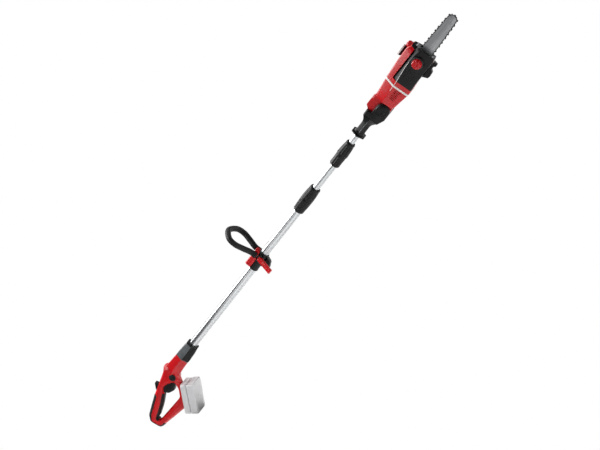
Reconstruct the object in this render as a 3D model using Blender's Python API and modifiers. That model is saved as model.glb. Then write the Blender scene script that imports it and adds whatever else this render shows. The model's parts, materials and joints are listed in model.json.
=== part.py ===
"""A cordless telescoping pole saw, built from its separate pieces.

The pole lies along X with the saw towards +X. +Z is the upper side of the tool, and the sprocket
cover faces -Y. The origin is on the pole's axis, half way along the tool. Sizes are in millimetres.
"""

import math

import bmesh
import bpy
import numpy as np

MM = 0.001
WELD = 1e-5

# Clearances
GAP = 0.3           # between fixed pieces that meet
RUN = 0.4           # between pieces that slide or turn on each other
ROUND = 24          # sides of a turned piece
FINE = 32           # sides of a large turned piece

# Pole
TUBE_R = 14.0
TUBE_WALL = 1.6
TUBE_REAR = -745.0
TUBE_LENGTH = 857.0
INNER_WALL = 1.5
INNER_OVERLAP = 762.0       # inner tube inside the outer tube at rest
LOCK_OVERHANG = 25.0        # lock body in front of the outer tube
LOCK_NUT_LENGTH = 54.0
LOCK_BODY_R = TUBE_R + 6.8
SHOWN = 110.0               # inner tube between lock and coupling at rest
COUPLING_LENGTH = 47.0
COUPLING_NUT_LENGTH = 56.0
COUPLING_R = TUBE_R + 4.4
COUPLING_NUT_R = TUBE_R + 5.6
SPIGOT_R = TUBE_R - 4.0
SPIGOT_WALL = 1.5
SPIGOT_SEAT = 74.0          # spigot inside the coupling
NECK_GAP = 42.0             # spigot seen between coupling and neck

# Rear handle
HANDLE_X = -682.0           # where the neck meets the collar
COLLAR_LENGTH = 67.0
NECK_R = TUBE_R + 9.5
NECK_HALF_WIDTH = TUBE_R + 8.0
MOUTH_R = TUBE_R + 3.5
GRIP_HALF = 15.0
GRIP_EDGE = 6.0
BACK_PAD = 7.0
INNER_PAD = 4.5
SWITCH_HALF = 11.2
TRIGGER_HALF = 12.0
TRIGGER_PIN_R = 1.5
SIDE_CAP_R = 11.7
SCREW_R = 1.5
SCREW_HEAD_R = 3.2

# Battery
BATTERY_TILT = 45.0
BATTERY_LENGTH = 108.0
BATTERY_HALF_WIDTH = 37.0
BATTERY_DEPTH = 48.0
CASE_WALL = 2.5
RAIL_LENGTH = 74.0
RAIL_HALF = 24.0
RAIL_NECK_HALF = 19.0
CELL_R = 9.0

# Front handle
CLAMP_X = -208.0
CLAMP_LENGTH = 74.0
CLAMP_WALL = 1.8
LOOP_X = 17.0               # loop's plane from the clamp's middle
LOOP_R = 10.0
LOOP_TOP = 139.0
LOOP_HALF_WIDTH = 47.0
LOOP_FOOT_Y = 21.5
LOOP_FOOT_Z = 14.5
LEVER_WIDTH = 17.0
LEVER_LENGTH = 60.0
LEVER_LEAN = 22.0           # degrees away from the pole
LEVER_EYE_R = 5.2

# Neck and fork
FLANGE_R = 27.6
FLANGE_THICKNESS = 5.0
NECK_TO_PIVOT = 135.0       # flange to tilt axis
PIVOT_Z = -16.0
CHEEK_IN = 22.0
CHEEK_OUT = CHEEK_IN + 12.0
CHEEK_R = 24.0
PIN_R = 6.0
BUTTON_R = 22.0
BUTTON_TRAVEL = 4.0

# Saw head, measured from the tilt axis
SHELL_WALL = 2.6
HOUSING_REAR = 26.0
HOUSING_FRONT = 248.0
TRIM_X = 99.0
TRIM_WIDTH = 8.0
COVER_REAR = 122.0
COVER_FRONT = 263.0
COVER_TOP = 41.0
BAR_Y = -12.0
BAR_Z = 6.0
BAR_THICKNESS = 4.0
BAR_REAR = 184.0
BAR_BASE_HALF = 19.0
NOSE_R = 14.0
NOSE_X = 407.5
CHAIN_DEPTH = 6.2
CHAIN_WIDTH = 7.0
SPROCKET_X = 161.0
SPROCKET_R = 17.0
SPROCKET_TEETH = 6
STUD_X = 221.0
STUD_R = 3.7
SHAFT_R = 5.0
MOTOR_Y = 4.0
MOTOR_R = 22.0
MOTOR_REAR = 38.0
MOTOR_LENGTH = 57.0
MOTOR_SHAFT_R = 2.5
GEAR_R = 20.0
GEAR_INNER_R = 13.0
GEAR_TEETH = 24
PINION_TEETH = 8
CASE_REAR = 108.0
CASE_FRONT = 188.0
CASE_BASE = -24.0
CASE_TOP = 33.0
CASE_WIDE = 30.0
CASE_RIB = 109.0
MOTOR_RIBS = (48.0, 82.0)
RIB = 2.4
SEAT_Y = -6.0               # face that the bar is clamped against
CAP_X = 201.0
CAP_Y = 5.0
CAP_R = 20.0
KNOB_R = 17.0
KNOB_HEIGHT = 16.0
BOSS_Y = -40.0

# Places that follow
INNER_R = TUBE_R - TUBE_WALL - RUN
TUBE_FRONT = TUBE_REAR + TUBE_LENGTH
LOCK_FRONT = TUBE_FRONT + LOCK_OVERHANG
LOCK_SPLIT = LOCK_FRONT - 53.0
COUPLING_REAR = LOCK_FRONT + SHOWN
COUPLING_SPLIT = COUPLING_REAR + COUPLING_LENGTH
COUPLING_FRONT = COUPLING_SPLIT + COUPLING_NUT_LENGTH
FLANGE_X = COUPLING_FRONT + NECK_GAP
PIVOT_X = FLANGE_X + NECK_TO_PIVOT
TUBE_BORE = TUBE_R + GAP
PIN_BORE = PIN_R + GAP
PINION_R = GEAR_R * PINION_TEETH / GEAR_TEETH

LOOKS = {
    "red": ("B3121C", 0.35, 0.0, 1.0),
    "black": ("17181A", 0.5, 0.0, 1.0),
    "rubber": ("1B1B1C", 0.8, 0.0, 1.0),
    "grey": ("45484A", 0.5, 0.0, 1.0),
    "pale": ("D9D6D2", 0.45, 0.0, 1.0),
    "aluminium": ("C4C6C8", 0.35, 1.0, 1.0),
    "steel": ("8E8F92", 0.4, 1.0, 1.0),
    "chain": ("2A2A2C", 0.45, 1.0, 1.0),
    "brass": ("B59A5B", 0.4, 1.0, 1.0),
    "ghost": ("CFCFD1", 0.4, 0.0, 0.55),
}


# Scene helpers


def linear(channel):
    """One sRGB channel, 0 to 1, as linear light."""
    return channel / 12.92 if channel <= 0.04045 else ((channel + 0.055) / 1.055) ** 2.4


def material(name, look):
    hex_colour, roughness, metallic, alpha = LOOKS[look]
    made = bpy.data.materials.new(name)
    made.use_nodes = True
    shader = made.node_tree.nodes["Principled BSDF"]
    rgb = [linear(int(hex_colour[i : i + 2], 16) / 255) for i in (0, 2, 4)]
    shader.inputs["Base Color"].default_value = (*rgb, 1.0)
    shader.inputs["Roughness"].default_value = roughness
    shader.inputs["Metallic"].default_value = metallic
    shader.inputs["Alpha"].default_value = alpha
    return made


def frame(name, at, tilt=0.0):
    """An empty that carries a group of pieces, turned about Y by tilt degrees."""
    empty = bpy.data.objects.new(name, None)
    empty.location = [v * MM for v in at]
    empty.rotation_euler = (0, math.radians(tilt), 0)
    PARTS.objects.link(empty)
    return empty


def link(name, data, look, parent):
    """An object for data: a visible piece where look names one, and a cutter where it is None."""
    made = bpy.data.objects.new(name, data)
    made.parent = parent
    if look is None:
        CUTTERS.objects.link(made)
        made.hide_render = True
        made.display_type = "WIRE"
    else:
        PARTS.objects.link(made)
        data.materials.append(material(name, look))
    return made


def smooth(piece):
    piece.data.shade_smooth()
    piece.data.set_sharp_from_angle(angle=math.radians(35))


def combine(piece, other, operation="DIFFERENCE"):
    modifier = piece.modifiers.new(operation.lower(), "BOOLEAN")
    modifier.operation = operation
    modifier.object = other
    modifier.solver = "EXACT"
    return piece


def cut(piece, *cutters):
    for cutter in cutters:
        combine(piece, cutter)
    return piece


def soften(piece, width, segments=2, angle=25):
    bevel = piece.modifiers.new("soften", "BEVEL")
    bevel.width = width * MM
    bevel.segments = segments
    bevel.limit_method = "ANGLE"
    bevel.angle_limit = math.radians(angle)
    return piece


# Shape helpers. A look of None makes a cutter.


def box(name, look, parent, low, high):
    mesh = bpy.data.meshes.new(name)
    work = bmesh.new()
    bmesh.ops.create_cube(work, size=1)
    low, high = np.array(low, float), np.array(high, float)
    for vert in work.verts:
        vert.co = ((low + high) / 2 + np.array(vert.co) * (high - low)) * MM
    work.to_mesh(mesh)
    work.free()
    return link(name, mesh, look, parent)


def turned(name, look, parent, axis, at, profile, sides=ROUND):
    """A profile of (distance along the axis, radius) points turned about an axis through at."""
    points = np.array(profile, float)
    along, radius = points.T
    if np.sum(radius * np.roll(along, -1) - np.roll(radius, -1) * along) > 0:
        points = points[::-1]
    count = len(points)
    edges = [(i, i + 1) for i in range(count - 1)]
    if points[0][1] > 0 or points[-1][1] > 0:
        edges.append((count - 1, 0))
    mesh = bpy.data.meshes.new(name)
    mesh.from_pydata([(r * MM, 0, a * MM) for a, r in points], edges, [])
    made = link(name, mesh, look, parent)
    made.location = [v * MM for v in at]
    quarter = math.pi / 2
    made.rotation_euler = {"X": (0, quarter, 0), "Y": (-quarter, 0, 0), "Z": (0, 0, 0)}[axis]
    screw = made.modifiers.new("turn", "SCREW")
    screw.steps = screw.render_steps = sides
    screw.use_merge_vertices = True
    screw.merge_threshold = WELD
    screw.use_smooth_shade = True
    return made


def ring(start, end, inner, outer):
    """The profile of a plain bush."""
    return [(start, inner), (start, outer), (end, outer), (end, inner)]


def rod(start, end, radius):
    """The profile of a plain solid rod."""
    return [(start, 0), (start, radius), (end, radius), (end, 0)]


def rounded(corners, steps=3):
    """Corners of (a, b, radius) as an outline, each corner with a radius drawn as an arc."""
    places = np.array([corner[:2] for corner in corners], float)
    outline = []
    for i, (a, b, radius) in enumerate(corners):
        if not radius:
            outline.append((a, b))
            continue
        back = places[i - 1] - places[i]
        ahead = places[(i + 1) % len(corners)] - places[i]
        back /= np.linalg.norm(back)
        ahead /= np.linalg.norm(ahead)
        half = math.acos(np.clip(back @ ahead, -1, 1)) / 2
        middle = (back + ahead) / np.linalg.norm(back + ahead)
        centre = places[i] + middle * radius / math.sin(half)
        start = places[i] + back * radius / math.tan(half) - centre
        end = places[i] + ahead * radius / math.tan(half) - centre
        first = math.atan2(start[1], start[0])
        sweep = (math.atan2(end[1], end[0]) - first + math.pi) % math.tau - math.pi
        for step in range(steps + 1):
            angle = first + sweep * step / steps
            outline.append(tuple(centre + radius * np.array([math.cos(angle), math.sin(angle)])))
    return outline


def plate(name, look, parent, plane, outlines, low, high, edge=0.0, edge_steps=2):
    """Flat outlines, the first outside and the others holes, made thick from low to high."""
    curve = bpy.data.curves.new(name, "CURVE")
    curve.dimensions = "2D"
    curve.fill_mode = "BOTH"
    curve.extrude = ((high - low) / 2 - edge) * MM
    curve.bevel_depth = edge * MM
    curve.bevel_resolution = edge_steps
    curve.offset = -edge * MM
    for outline in outlines:
        spline = curve.splines.new("POLY")
        spline.points.add(len(outline) - 1)
        spline.use_cyclic_u = True
        for point, (a, b) in zip(spline.points, outline):
            point.co = (a * MM, b * MM, 0, 1)
    flat = link(name + "_flat", curve, None, parent)
    middle = (low + high) / 2 * MM
    quarter = math.pi / 2
    turn, at = {
        "XZ": ((quarter, 0, 0), (0, middle, 0)),
        "YZ": ((quarter, 0, quarter), (middle, 0, 0)),
        "XY": ((0, 0, 0), (0, 0, middle)),
    }[plane]
    flat.rotation_euler = turn
    flat.location = at
    return welded(flat, name, look)


def welded(curve_object, name, look):
    """The curve object as a closed mesh in the same place, which can be cut."""
    bpy.context.view_layer.update()
    graph = bpy.context.evaluated_depsgraph_get()
    mesh = bpy.data.meshes.new_from_object(curve_object.evaluated_get(graph))
    mesh.materials.clear()
    work = bmesh.new()
    work.from_mesh(mesh)
    bmesh.ops.remove_doubles(work, verts=work.verts, dist=WELD)
    face_out(work)
    work.to_mesh(mesh)
    work.free()
    made = link(name, mesh, look, curve_object.parent)
    made.matrix_world = curve_object.matrix_world
    bpy.data.objects.remove(curve_object)
    return made


def face_out(work):
    bmesh.ops.recalc_face_normals(work, faces=work.faces)
    if work.calc_volume(signed=True) < 0:
        bmesh.ops.reverse_faces(work, faces=work.faces)


def loft(name, look, parent, rings):
    """Rings of equally many points joined in order, with flat ends."""
    mesh = bpy.data.meshes.new(name)
    work = bmesh.new()
    rows = [[work.verts.new(np.array(point) * MM) for point in ring_] for ring_ in rings]
    count = len(rows[0])
    for first, second in zip(rows, rows[1:]):
        for i in range(count):
            j = (i + 1) % count
            work.faces.new((first[i], first[j], second[j], second[i]))
    work.faces.new(rows[0])
    work.faces.new(rows[-1])
    face_out(work)
    work.to_mesh(mesh)
    work.free()
    return link(name, mesh, look, parent)


def hexagon(x, half_width, top, bottom, ridge=0.0, top_share=0.5, bottom_share=0.5):
    """A six-sided ring across X, with a ridge on each side and a flat at the top and bottom."""
    upper, lower = half_width * top_share, half_width * bottom_share
    return [
        (x, half_width, ridge),
        (x, upper, top),
        (x, -upper, top),
        (x, -half_width, ridge),
        (x, -lower, bottom),
        (x, lower, bottom),
    ]


def halfspace(name, parent, side):
    """A cutter that keeps what lies on one side of the Y plane, less half a gap."""
    reach = 400.0
    low, high = ((-reach, 0) if side < 0 else (0, reach))
    return box(
        name,
        None,
        parent,
        (-reach, low + GAP / 2 * (side > 0), -reach),
        (reach, high - GAP / 2 * (side < 0), reach),
    )


def shift_path(path, distance):
    """An open path of (a, b, radius) corners moved sideways to its left by distance."""
    places = np.array([corner[:2] for corner in path], float)
    moved = []
    for i, (_, _, radius) in enumerate(path):
        normals = []
        for j in (i - 1, i):
            if 0 <= j < len(path) - 1:
                along = places[j + 1] - places[j]
                along /= np.linalg.norm(along)
                normals.append(np.array([-along[1], along[0]]))
        mean = sum(normals) / len(normals)
        place = places[i] + mean * distance / (mean @ mean)
        moved.append((*place, radius))
    return moved


def strip(path, near, far):
    """The closed outline between two sideways shifts of an open path."""
    first = [(a, b, min(r, 3) if near > 0 else r) for a, b, r in shift_path(path, near)]
    second = [(a, b, min(r, 3)) for a, b, r in shift_path(path, far)]
    return rounded(first + second[::-1])


# Rear handle, measured from where the neck meets the collar

GRIP_OUTER = [
    (-46, 20, 0),
    (-66, 32.5, 8),
    (-88, 20.5, 10),
    (-164, 1.5, 40),
    (-254, -31, 14),
    (-270, -46, 10),
    (-262, -88, 8),
    (-137, -111, 8),
    (-81, -55, 15),
    (-60, -25, 12),
    (-46, -20, 0),
]
GRIP_HOLE = [
    (-242, -57, 5),
    (-242, -70, 5),
    (-126, -75, 8),
    (-103, -55, 6),
    (-95, -31, 3),
    (-112, -18, 3),
    (-131, -11.5, 3),
    (-149, -24, 3),
    (-156, -32, 4),
    (-223, -57, 8),
]
BACK_PATH = [(-164.5, 1.3, 0), (-254, -31, 14), (-270, -46, 10), (-262, -88, 8), (-252, -89.8, 0)]
INNER_PATH = [(-242, -67, 0), (-242, -57, 5), (-223, -57, 8), (-160, -33.5, 0)]
HANDLE_ROOM = [(-94, 14, 4), (-160, -5, 8), (-232, -34, 5), (-226, -46, 5), (-160, -21, 8), (-94, -12, 4)]
TRIGGER = [
    (-84, -23, 3),
    (-99, -23, 6),
    (-113, -25, 3),
    (-131, -20, 3),
    (-143, -31, 3),
    (-116, -46.5, 3),
    (-99, -38, 6),
    (-84, -32, 3),
]
TRIGGER_PIN = (-88, -27.5)
BUTTON = [(-133, 5, 1), (-138.5, 21, 1.5), (-143, 20.5, 3), (-159, 5, 1), (-157, -2, 1), (-135, 2, 1)]
THROUGH_BOLT = (-76, -14.6)
SHELL_SCREW = (-133, -93)


def grip_body(name, look, parent):
    return plate(
        name,
        look,
        parent,
        "XZ",
        [rounded(GRIP_OUTER), rounded(GRIP_HOLE)],
        -GRIP_HALF,
        GRIP_HALF,
        GRIP_EDGE,
    )


def handle_shell(side, name, parent):
    """One half of the handle: the D-shaped grip and the neck round the tube, hollow for the switch."""
    shell = grip_body(name, "red", parent)
    neck = loft(
        name + "_neck",
        None,
        parent,
        [
            hexagon(0, NECK_HALF_WIDTH, NECK_R, -NECK_R),
            hexagon(-44, NECK_HALF_WIDTH + 1, NECK_R + 1.5, -NECK_R - 1.5),
            hexagon(-72, NECK_HALF_WIDTH, NECK_R, -NECK_R - 5, -6),
            hexagon(-104, GRIP_HALF - 2, 8, -24, -10),
        ],
    )
    soften(neck, 3)
    combine(shell, neck, "UNION")
    combine(shell, halfspace(name + "_side", parent, side), "INTERSECT")
    x, z = THROUGH_BOLT
    head_y = side * (GRIP_HALF - 1.3)
    cutters = [
        plate(name + "_back", None, parent, "XZ", [strip(BACK_PATH, -3, BACK_PAD)], -40, 40),
        plate(name + "_under", None, parent, "XZ", [strip(INNER_PATH, -3, INNER_PAD)], -40, 40),
        plate(
            name + "_room",
            None,
            parent,
            "XZ",
            [rounded(HANDLE_ROOM)],
            -SWITCH_HALF - GAP,
            SWITCH_HALF + GAP,
        ),
        turned(name + "_bore", None, parent, "X", (0, 0, 0), rod(TUBE_REAR - HANDLE_X - 1, 5, TUBE_BORE)),
        turned(name + "_lead", None, parent, "X", (0, 0, 0), rod(-100, -50, 6)),
        turned(
            name + "_bolt",
            None,
            parent,
            "Y",
            (x, 0, z),
            [
                (-side * 5, 0),
                (-side * 5, 2.5 + GAP),
                (head_y, 2.5 + GAP),
                (head_y, SIDE_CAP_R + GAP),
                (side * 40, SIDE_CAP_R + GAP),
                (side * 40, 0),
            ],
        ),
        box(name + "_button", None, parent, (-159.8, -7.2 - RUN, -8), (-132.4, 7.2 + RUN, 30)),
        box(
            name + "_trigger",
            None,
            parent,
            (-110, -TRIGGER_HALF - RUN, -41),
            (-82, TRIGGER_HALF + RUN, -15),
        ),
        turned(
            name + "_pin",
            None,
            parent,
            "Y",
            (TRIGGER_PIN[0], 0, TRIGGER_PIN[1]),
            rod(-GRIP_HALF + 1.2, GRIP_HALF - 1.2, TRIGGER_PIN_R + 0.15),
            12,
        ),
        turned(
            name + "_screw",
            None,
            parent,
            "Y",
            (SHELL_SCREW[0], 0, SHELL_SCREW[1]),
            [
                (-10, 0),
                (-10, SCREW_R + GAP),
                (GRIP_HALF - 4, SCREW_R + GAP),
                (GRIP_HALF - 4, SCREW_HEAD_R + GAP),
                (30, SCREW_HEAD_R + GAP),
                (30, 0),
            ],
            12,
        ),
    ]
    return cut(shell, *cutters)


def rear_handle():
    parent = frame("rear_handle_frame", (HANDLE_X, 0, 0))
    handle_shell(-1, "handle_shell_left", parent)
    handle_shell(1, "handle_shell_right", parent)
    for name, path, depth in (
        ("grip_back_pad", BACK_PATH, BACK_PAD),
        ("grip_inner_pad", INNER_PATH, INNER_PAD),
    ):
        pad = grip_body(name, "rubber", parent)
        ends = [path[0], *path[1:]]
        keep = plate(name + "_keep", None, parent, "XZ", [strip(ends, -3, depth - GAP)], -40, 40)
        combine(pad, keep, "INTERSECT")
        trim_ends(pad, path, parent)
    collar = loft(
        "handle_collar",
        "grey",
        parent,
        [
            hexagon(GAP, NECK_HALF_WIDTH, NECK_R, -NECK_R),
            hexagon(COLLAR_LENGTH * 0.55, NECK_HALF_WIDTH - 1.5, NECK_R - 2, -NECK_R + 2),
            hexagon(COLLAR_LENGTH, MOUTH_R + 0.5, MOUTH_R, -MOUTH_R, 0, 0.58, 0.58),
        ],
    )
    soften(collar, 2.5)
    cut(
        collar,
        turned("collar_bore", None, parent, "X", (0, 0, 0), rod(-5, 100, TUBE_BORE)),
        turned("collar_mouth", None, parent, "X", (0, 0, 0), rod(COLLAR_LENGTH - 9, 100, TUBE_BORE + 0.9)),
    )
    x, z = THROUGH_BOLT
    for name, side in (("side_cap_left", -1), ("side_cap_right", 1)):
        inner, outer = GRIP_HALF - 1, NECK_HALF_WIDTH - 0.5
        turned(
            name,
            "black",
            parent,
            "Y",
            (x, 0, z),
            [
                (side * inner, 0),
                (side * inner, SIDE_CAP_R),
                (side * (outer - 1), SIDE_CAP_R),
                (side * outer, SIDE_CAP_R - 2),
                (side * outer, 0),
            ],
        )
    turned("handle_bolt", "steel", parent, "Y", (x, 0, z), rod(-GRIP_HALF + 1.5, GRIP_HALF - 1.5, 2.5), 16)
    turned(
        "handle_screw",
        "steel",
        parent,
        "Y",
        (SHELL_SCREW[0], 0, SHELL_SCREW[1]),
        [
            (-9, 0),
            (-9, SCREW_R),
            (GRIP_HALF - 3.7, SCREW_R),
            (GRIP_HALF - 3.7, SCREW_HEAD_R),
            (GRIP_HALF - 0.8, SCREW_HEAD_R - 0.5),
            (GRIP_HALF - 0.8, 0),
        ],
        12,
    )
    soften(box("main_switch", "black", parent, (-126, -SWITCH_HALF, -10.5), (-98, SWITCH_HALF, 1.5)), 1)
    rear_controls(parent)
    terminal_block()


def trim_ends(pad, path, parent):
    """Leaves a gap between each end of a pad and the shell."""
    for i, (end, inside) in enumerate(((path[0], path[1]), (path[-1], path[-2]))):
        along = np.array(inside[:2], float) - np.array(end[:2], float)
        along /= np.linalg.norm(along)
        across = np.array([-along[1], along[0]])
        place = np.array(end[:2], float)
        corners = [
            place - along * 20 - across * 12,
            place + along * GAP - across * 12,
            place + along * GAP + across * 12,
            place - along * 20 + across * 12,
        ]
        name = f"{pad.name}_end_{i}"
        cut(pad, plate(name, None, parent, "XZ", [[tuple(c) for c in corners]], -40, 40))


def rear_controls(parent):
    """Trigger on its pin, and the lock-off button on top of the grip."""
    x, z = TRIGGER_PIN
    trigger = plate(
        "trigger", "black", parent, "XZ", [rounded(TRIGGER)], -TRIGGER_HALF, TRIGGER_HALF, 2
    )
    bore = rod(-40, 40, TRIGGER_PIN_R + 0.15)
    cut(trigger, turned("trigger_bore", None, parent, "Y", (x, 0, z), bore, 12))
    pin = rod(-GRIP_HALF + 1.5, GRIP_HALF - 1.5, TRIGGER_PIN_R)
    turned("trigger_pin", "steel", parent, "Y", (x, 0, z), pin, 12)
    plate("lock_off_button", "black", parent, "XZ", [rounded(BUTTON)], -7.2, 7.2, 0.9, 1)


# Battery, in a frame on the leg's outer face: X up the leg, Z from the pack to the leg


def battery_origin():
    """The middle of the leg's outer face, with the direction up the leg."""
    low, high = np.array(GRIP_OUTER[7][:2]), np.array(GRIP_OUTER[8][:2])
    middle = low + (high - low) * 0.46
    return (HANDLE_X + middle[0], 0, middle[1])


def terminal_block():
    parent = frame("battery_frame", battery_origin(), -BATTERY_TILT)
    half = RAIL_LENGTH / 2
    neck, head = RAIL_NECK_HALF, RAIL_HALF
    outline = [
        (-neck, -GAP),
        (-neck, -4.6),
        (-head, -4.6),
        (-head, -9.5),
        (head, -9.5),
        (head, -4.6),
        (neck, -4.6),
        (neck, -GAP),
    ]
    plate("terminal_block", "black", parent, "YZ", [outline], -half, half)
    battery(parent)


def battery(parent):
    """The pack: two case halves round the cells, a channel for the rails and a release button."""
    end, wide = BATTERY_LENGTH / 2, BATTERY_HALF_WIDTH
    top, split, base = -1.6, -22.0, -1.6 - BATTERY_DEPTH
    upper = box("battery_case_top", "ghost", parent, (-end, -wide, split + GAP / 2), (end, wide, top))
    lower = box("battery_case_base", "ghost", parent, (-end, -wide, base), (end, wide, split - GAP / 2))
    soften(upper, 3.5, 2, 60)
    soften(lower, 4.5, 2, 60)
    stop = -RAIL_LENGTH / 2 - 1
    neck = box("rail_neck", None, parent, (stop, -RAIL_NECK_HALF - RUN, -6), (80, RAIL_NECK_HALF + RUN, 5))
    head = box(
        "rail_head", None, parent, (stop, -RAIL_HALF - RUN, -9.5 - RUN), (80, RAIL_HALF + RUN, -4.6 + RUN)
    )
    cell_top, cell_base = -14.0, base + CASE_WALL
    inside_x, inside_y = end - CASE_WALL, wide - CASE_WALL
    room = box(
        "cell_room", None, parent, (-inside_x, -inside_y, cell_base), (inside_x, inside_y, cell_top)
    )
    slot = box("button_slot", None, parent, (-end - 5, -9 - RUN, -12), (-end + 9, 9 + RUN, 2))
    cut(upper, neck, head, room, slot)
    cut(lower, room)
    cells(parent, inside_x, inside_y, cell_base, cell_top)
    button = box("battery_button", "black", parent, (-end + 0.5, -9, -11.6), (-end + 5, 9, -2.2))
    soften(button, 1)


def cells(parent, inside_x, inside_y, base, top):
    """Cylindrical cells across the pack, joined by their holder."""
    rows = int((inside_x * 2 - 2) // (2 * CELL_R + 1))
    pitch = 2 * CELL_R + 1
    middle = (base + top) / 2
    holder = box(
        "battery_cells",
        "grey",
        parent,
        (-inside_x + 1, -inside_y + GAP, middle - CELL_R * 0.5),
        (inside_x - 1, inside_y - GAP, middle + CELL_R * 0.5),
    )
    for i in range(rows):
        x = (i - (rows - 1) / 2) * pitch
        cell = turned(
            f"cell_{i}", None, parent, "Y", (x, 0, middle), rod(-inside_y + 2, inside_y - 2, CELL_R), 16
        )
        combine(holder, cell, "UNION")
    post = box("cell_post", None, parent, (-20, -20, base + GAP), (20, 20, top - GAP))
    combine(holder, post, "UNION")


# Pole


def pole():
    turned(
        "outer_tube",
        "aluminium",
        None,
        "X",
        (0, 0, 0),
        ring(TUBE_REAR, TUBE_FRONT, TUBE_R - TUBE_WALL, TUBE_R),
        FINE,
    )
    skirt_r = LOCK_BODY_R - 4.2
    nut_rear = LOCK_SPLIT - LOCK_NUT_LENGTH
    skirt = LOCK_SPLIT - 24
    slide_r = INNER_R + RUN
    turned(
        "lock_body",
        "black",
        None,
        "X",
        (0, 0, 0),
        [
            (skirt, TUBE_BORE),
            (skirt, skirt_r),
            (LOCK_SPLIT + GAP, skirt_r),
            (LOCK_SPLIT + GAP, LOCK_BODY_R),
            (LOCK_FRONT - 2, LOCK_BODY_R - 3.6),
            (LOCK_FRONT, LOCK_BODY_R - 4.6),
            (LOCK_FRONT, slide_r),
            (LOCK_FRONT - 8, slide_r),
            (LOCK_FRONT - 8, TUBE_R + 1.2),
            (TUBE_FRONT + GAP, TUBE_R + 1.2),
            (TUBE_FRONT + GAP, TUBE_BORE),
        ],
        FINE,
    )
    turned(
        "lock_nut",
        "black",
        None,
        "X",
        (0, 0, 0),
        [
            (nut_rear, TUBE_R + RUN),
            (nut_rear, LOCK_BODY_R - 3),
            (nut_rear + 3, LOCK_BODY_R - 1.6),
            (LOCK_SPLIT, LOCK_BODY_R),
            (LOCK_SPLIT, skirt_r + RUN),
            (skirt - 1, skirt_r + RUN),
            (skirt - 1, TUBE_R + RUN),
        ],
        FINE,
    )
    collet = turned(
        "lock_collet",
        "pale",
        None,
        "X",
        (0, 0, 0),
        ring(TUBE_FRONT + 1.5, LOCK_FRONT - 8.5, INNER_R + 0.2, TUBE_R + 0.9),
    )
    slit = box("collet_slit", None, None, (TUBE_FRONT, -0.8, 0), (LOCK_FRONT, 0.8, 30))
    cut(collet, slit)
    inner_rear = TUBE_FRONT - INNER_OVERLAP
    inner_front = COUPLING_REAR + 24
    bore = INNER_R - INNER_WALL
    turned(
        "inner_tube", "aluminium", None, "X", (0, 0, 0), ring(inner_rear, inner_front, bore, INNER_R), FINE
    )
    turned(
        "inner_end_plug",
        "black",
        None,
        "X",
        (0, 0, 0),
        [
            (inner_rear - 3, 5),
            (inner_rear - 3, INNER_R),
            (inner_rear - GAP, INNER_R),
            (inner_rear - GAP, bore - GAP),
            (inner_rear + 14, bore - GAP),
            (inner_rear + 14, 5),
        ],
    )
    coupling(inner_front)


def coupling(inner_front):
    split_r = SPIGOT_R + RUN
    skirt_r = SPIGOT_R + 3.6
    skirt_front = COUPLING_SPLIT + 40
    turned(
        "coupling_body",
        "black",
        None,
        "X",
        (0, 0, 0),
        [
            (COUPLING_REAR, INNER_R + GAP),
            (COUPLING_REAR, COUPLING_R - 2),
            (COUPLING_REAR + 3, COUPLING_R - 0.9),
            (COUPLING_SPLIT - GAP, COUPLING_R),
            (COUPLING_SPLIT - GAP, skirt_r),
            (skirt_front, skirt_r),
            (skirt_front, split_r),
            (inner_front + GAP, split_r),
            (inner_front + GAP, INNER_R + GAP),
        ],
        FINE,
    )
    turned(
        "coupling_nut",
        "black",
        None,
        "X",
        (0, 0, 0),
        [
            (COUPLING_SPLIT, skirt_r + RUN),
            (COUPLING_SPLIT, COUPLING_NUT_R),
            (COUPLING_FRONT - 4, COUPLING_NUT_R - 4),
            (COUPLING_FRONT, COUPLING_NUT_R - 5.5),
            (COUPLING_FRONT, split_r),
            (skirt_front + 1, split_r),
            (skirt_front + 1, skirt_r + RUN),
        ],
        FINE,
    )


# Front handle, measured from the middle of its clamp


def front_handle():
    parent = frame("front_handle_frame", (CLAMP_X, 0, 0))
    half, sleeve_r = CLAMP_LENGTH / 2, TUBE_BORE + CLAMP_WALL
    sleeve = turned(
        "clamp_sleeve", "black", parent, "X", (0, 0, 0), ring(-half, half, TUBE_R + RUN, sleeve_r), FINE
    )
    under = -sleeve_r + 1
    bracket = plate(
        "bracket",
        None,
        parent,
        "XZ",
        [rounded([(-8, under, 0), (-4, -38, 4), (4, -42, 4), (24, -32, 5), (31, under, 0)])],
        -10,
        10,
        1.5,
        1,
    )
    pin_y, pin_z = -sleeve_r - LEVER_EYE_R - 1, 2.0
    low, high = LOOP_X - LEVER_WIDTH / 2 - 3.4, LOOP_X + LEVER_WIDTH / 2 + 3.4
    ear_outline = rounded([(pin_y - 4, -2, 3), (pin_y - 4, 6, 3), (-12, 8, 0), (-12, -4, 0)])
    ears = [
        plate("ear_rear", None, parent, "YZ", [ear_outline], low, low + 3),
        plate("ear_front", None, parent, "YZ", [ear_outline], high - 3, high),
    ]
    for piece in (bracket, *ears):
        combine(sleeve, piece, "UNION")
    cut(
        sleeve,
        turned("sleeve_bore", None, parent, "X", (0, 0, 0), rod(-60, 60, TUBE_R + RUN), FINE),
        turned("lever_bore", None, parent, "X", (0, pin_y, pin_z), rod(low - 5, high + 5, 2 + GAP), 12),
    )
    turned("lever_pin", "steel", parent, "X", (0, pin_y, pin_z), rod(low - 1, high + 1, 2), 12)
    lever(parent, pin_y, pin_z)
    saddle_and_loop(parent, half, sleeve_r)


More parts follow.
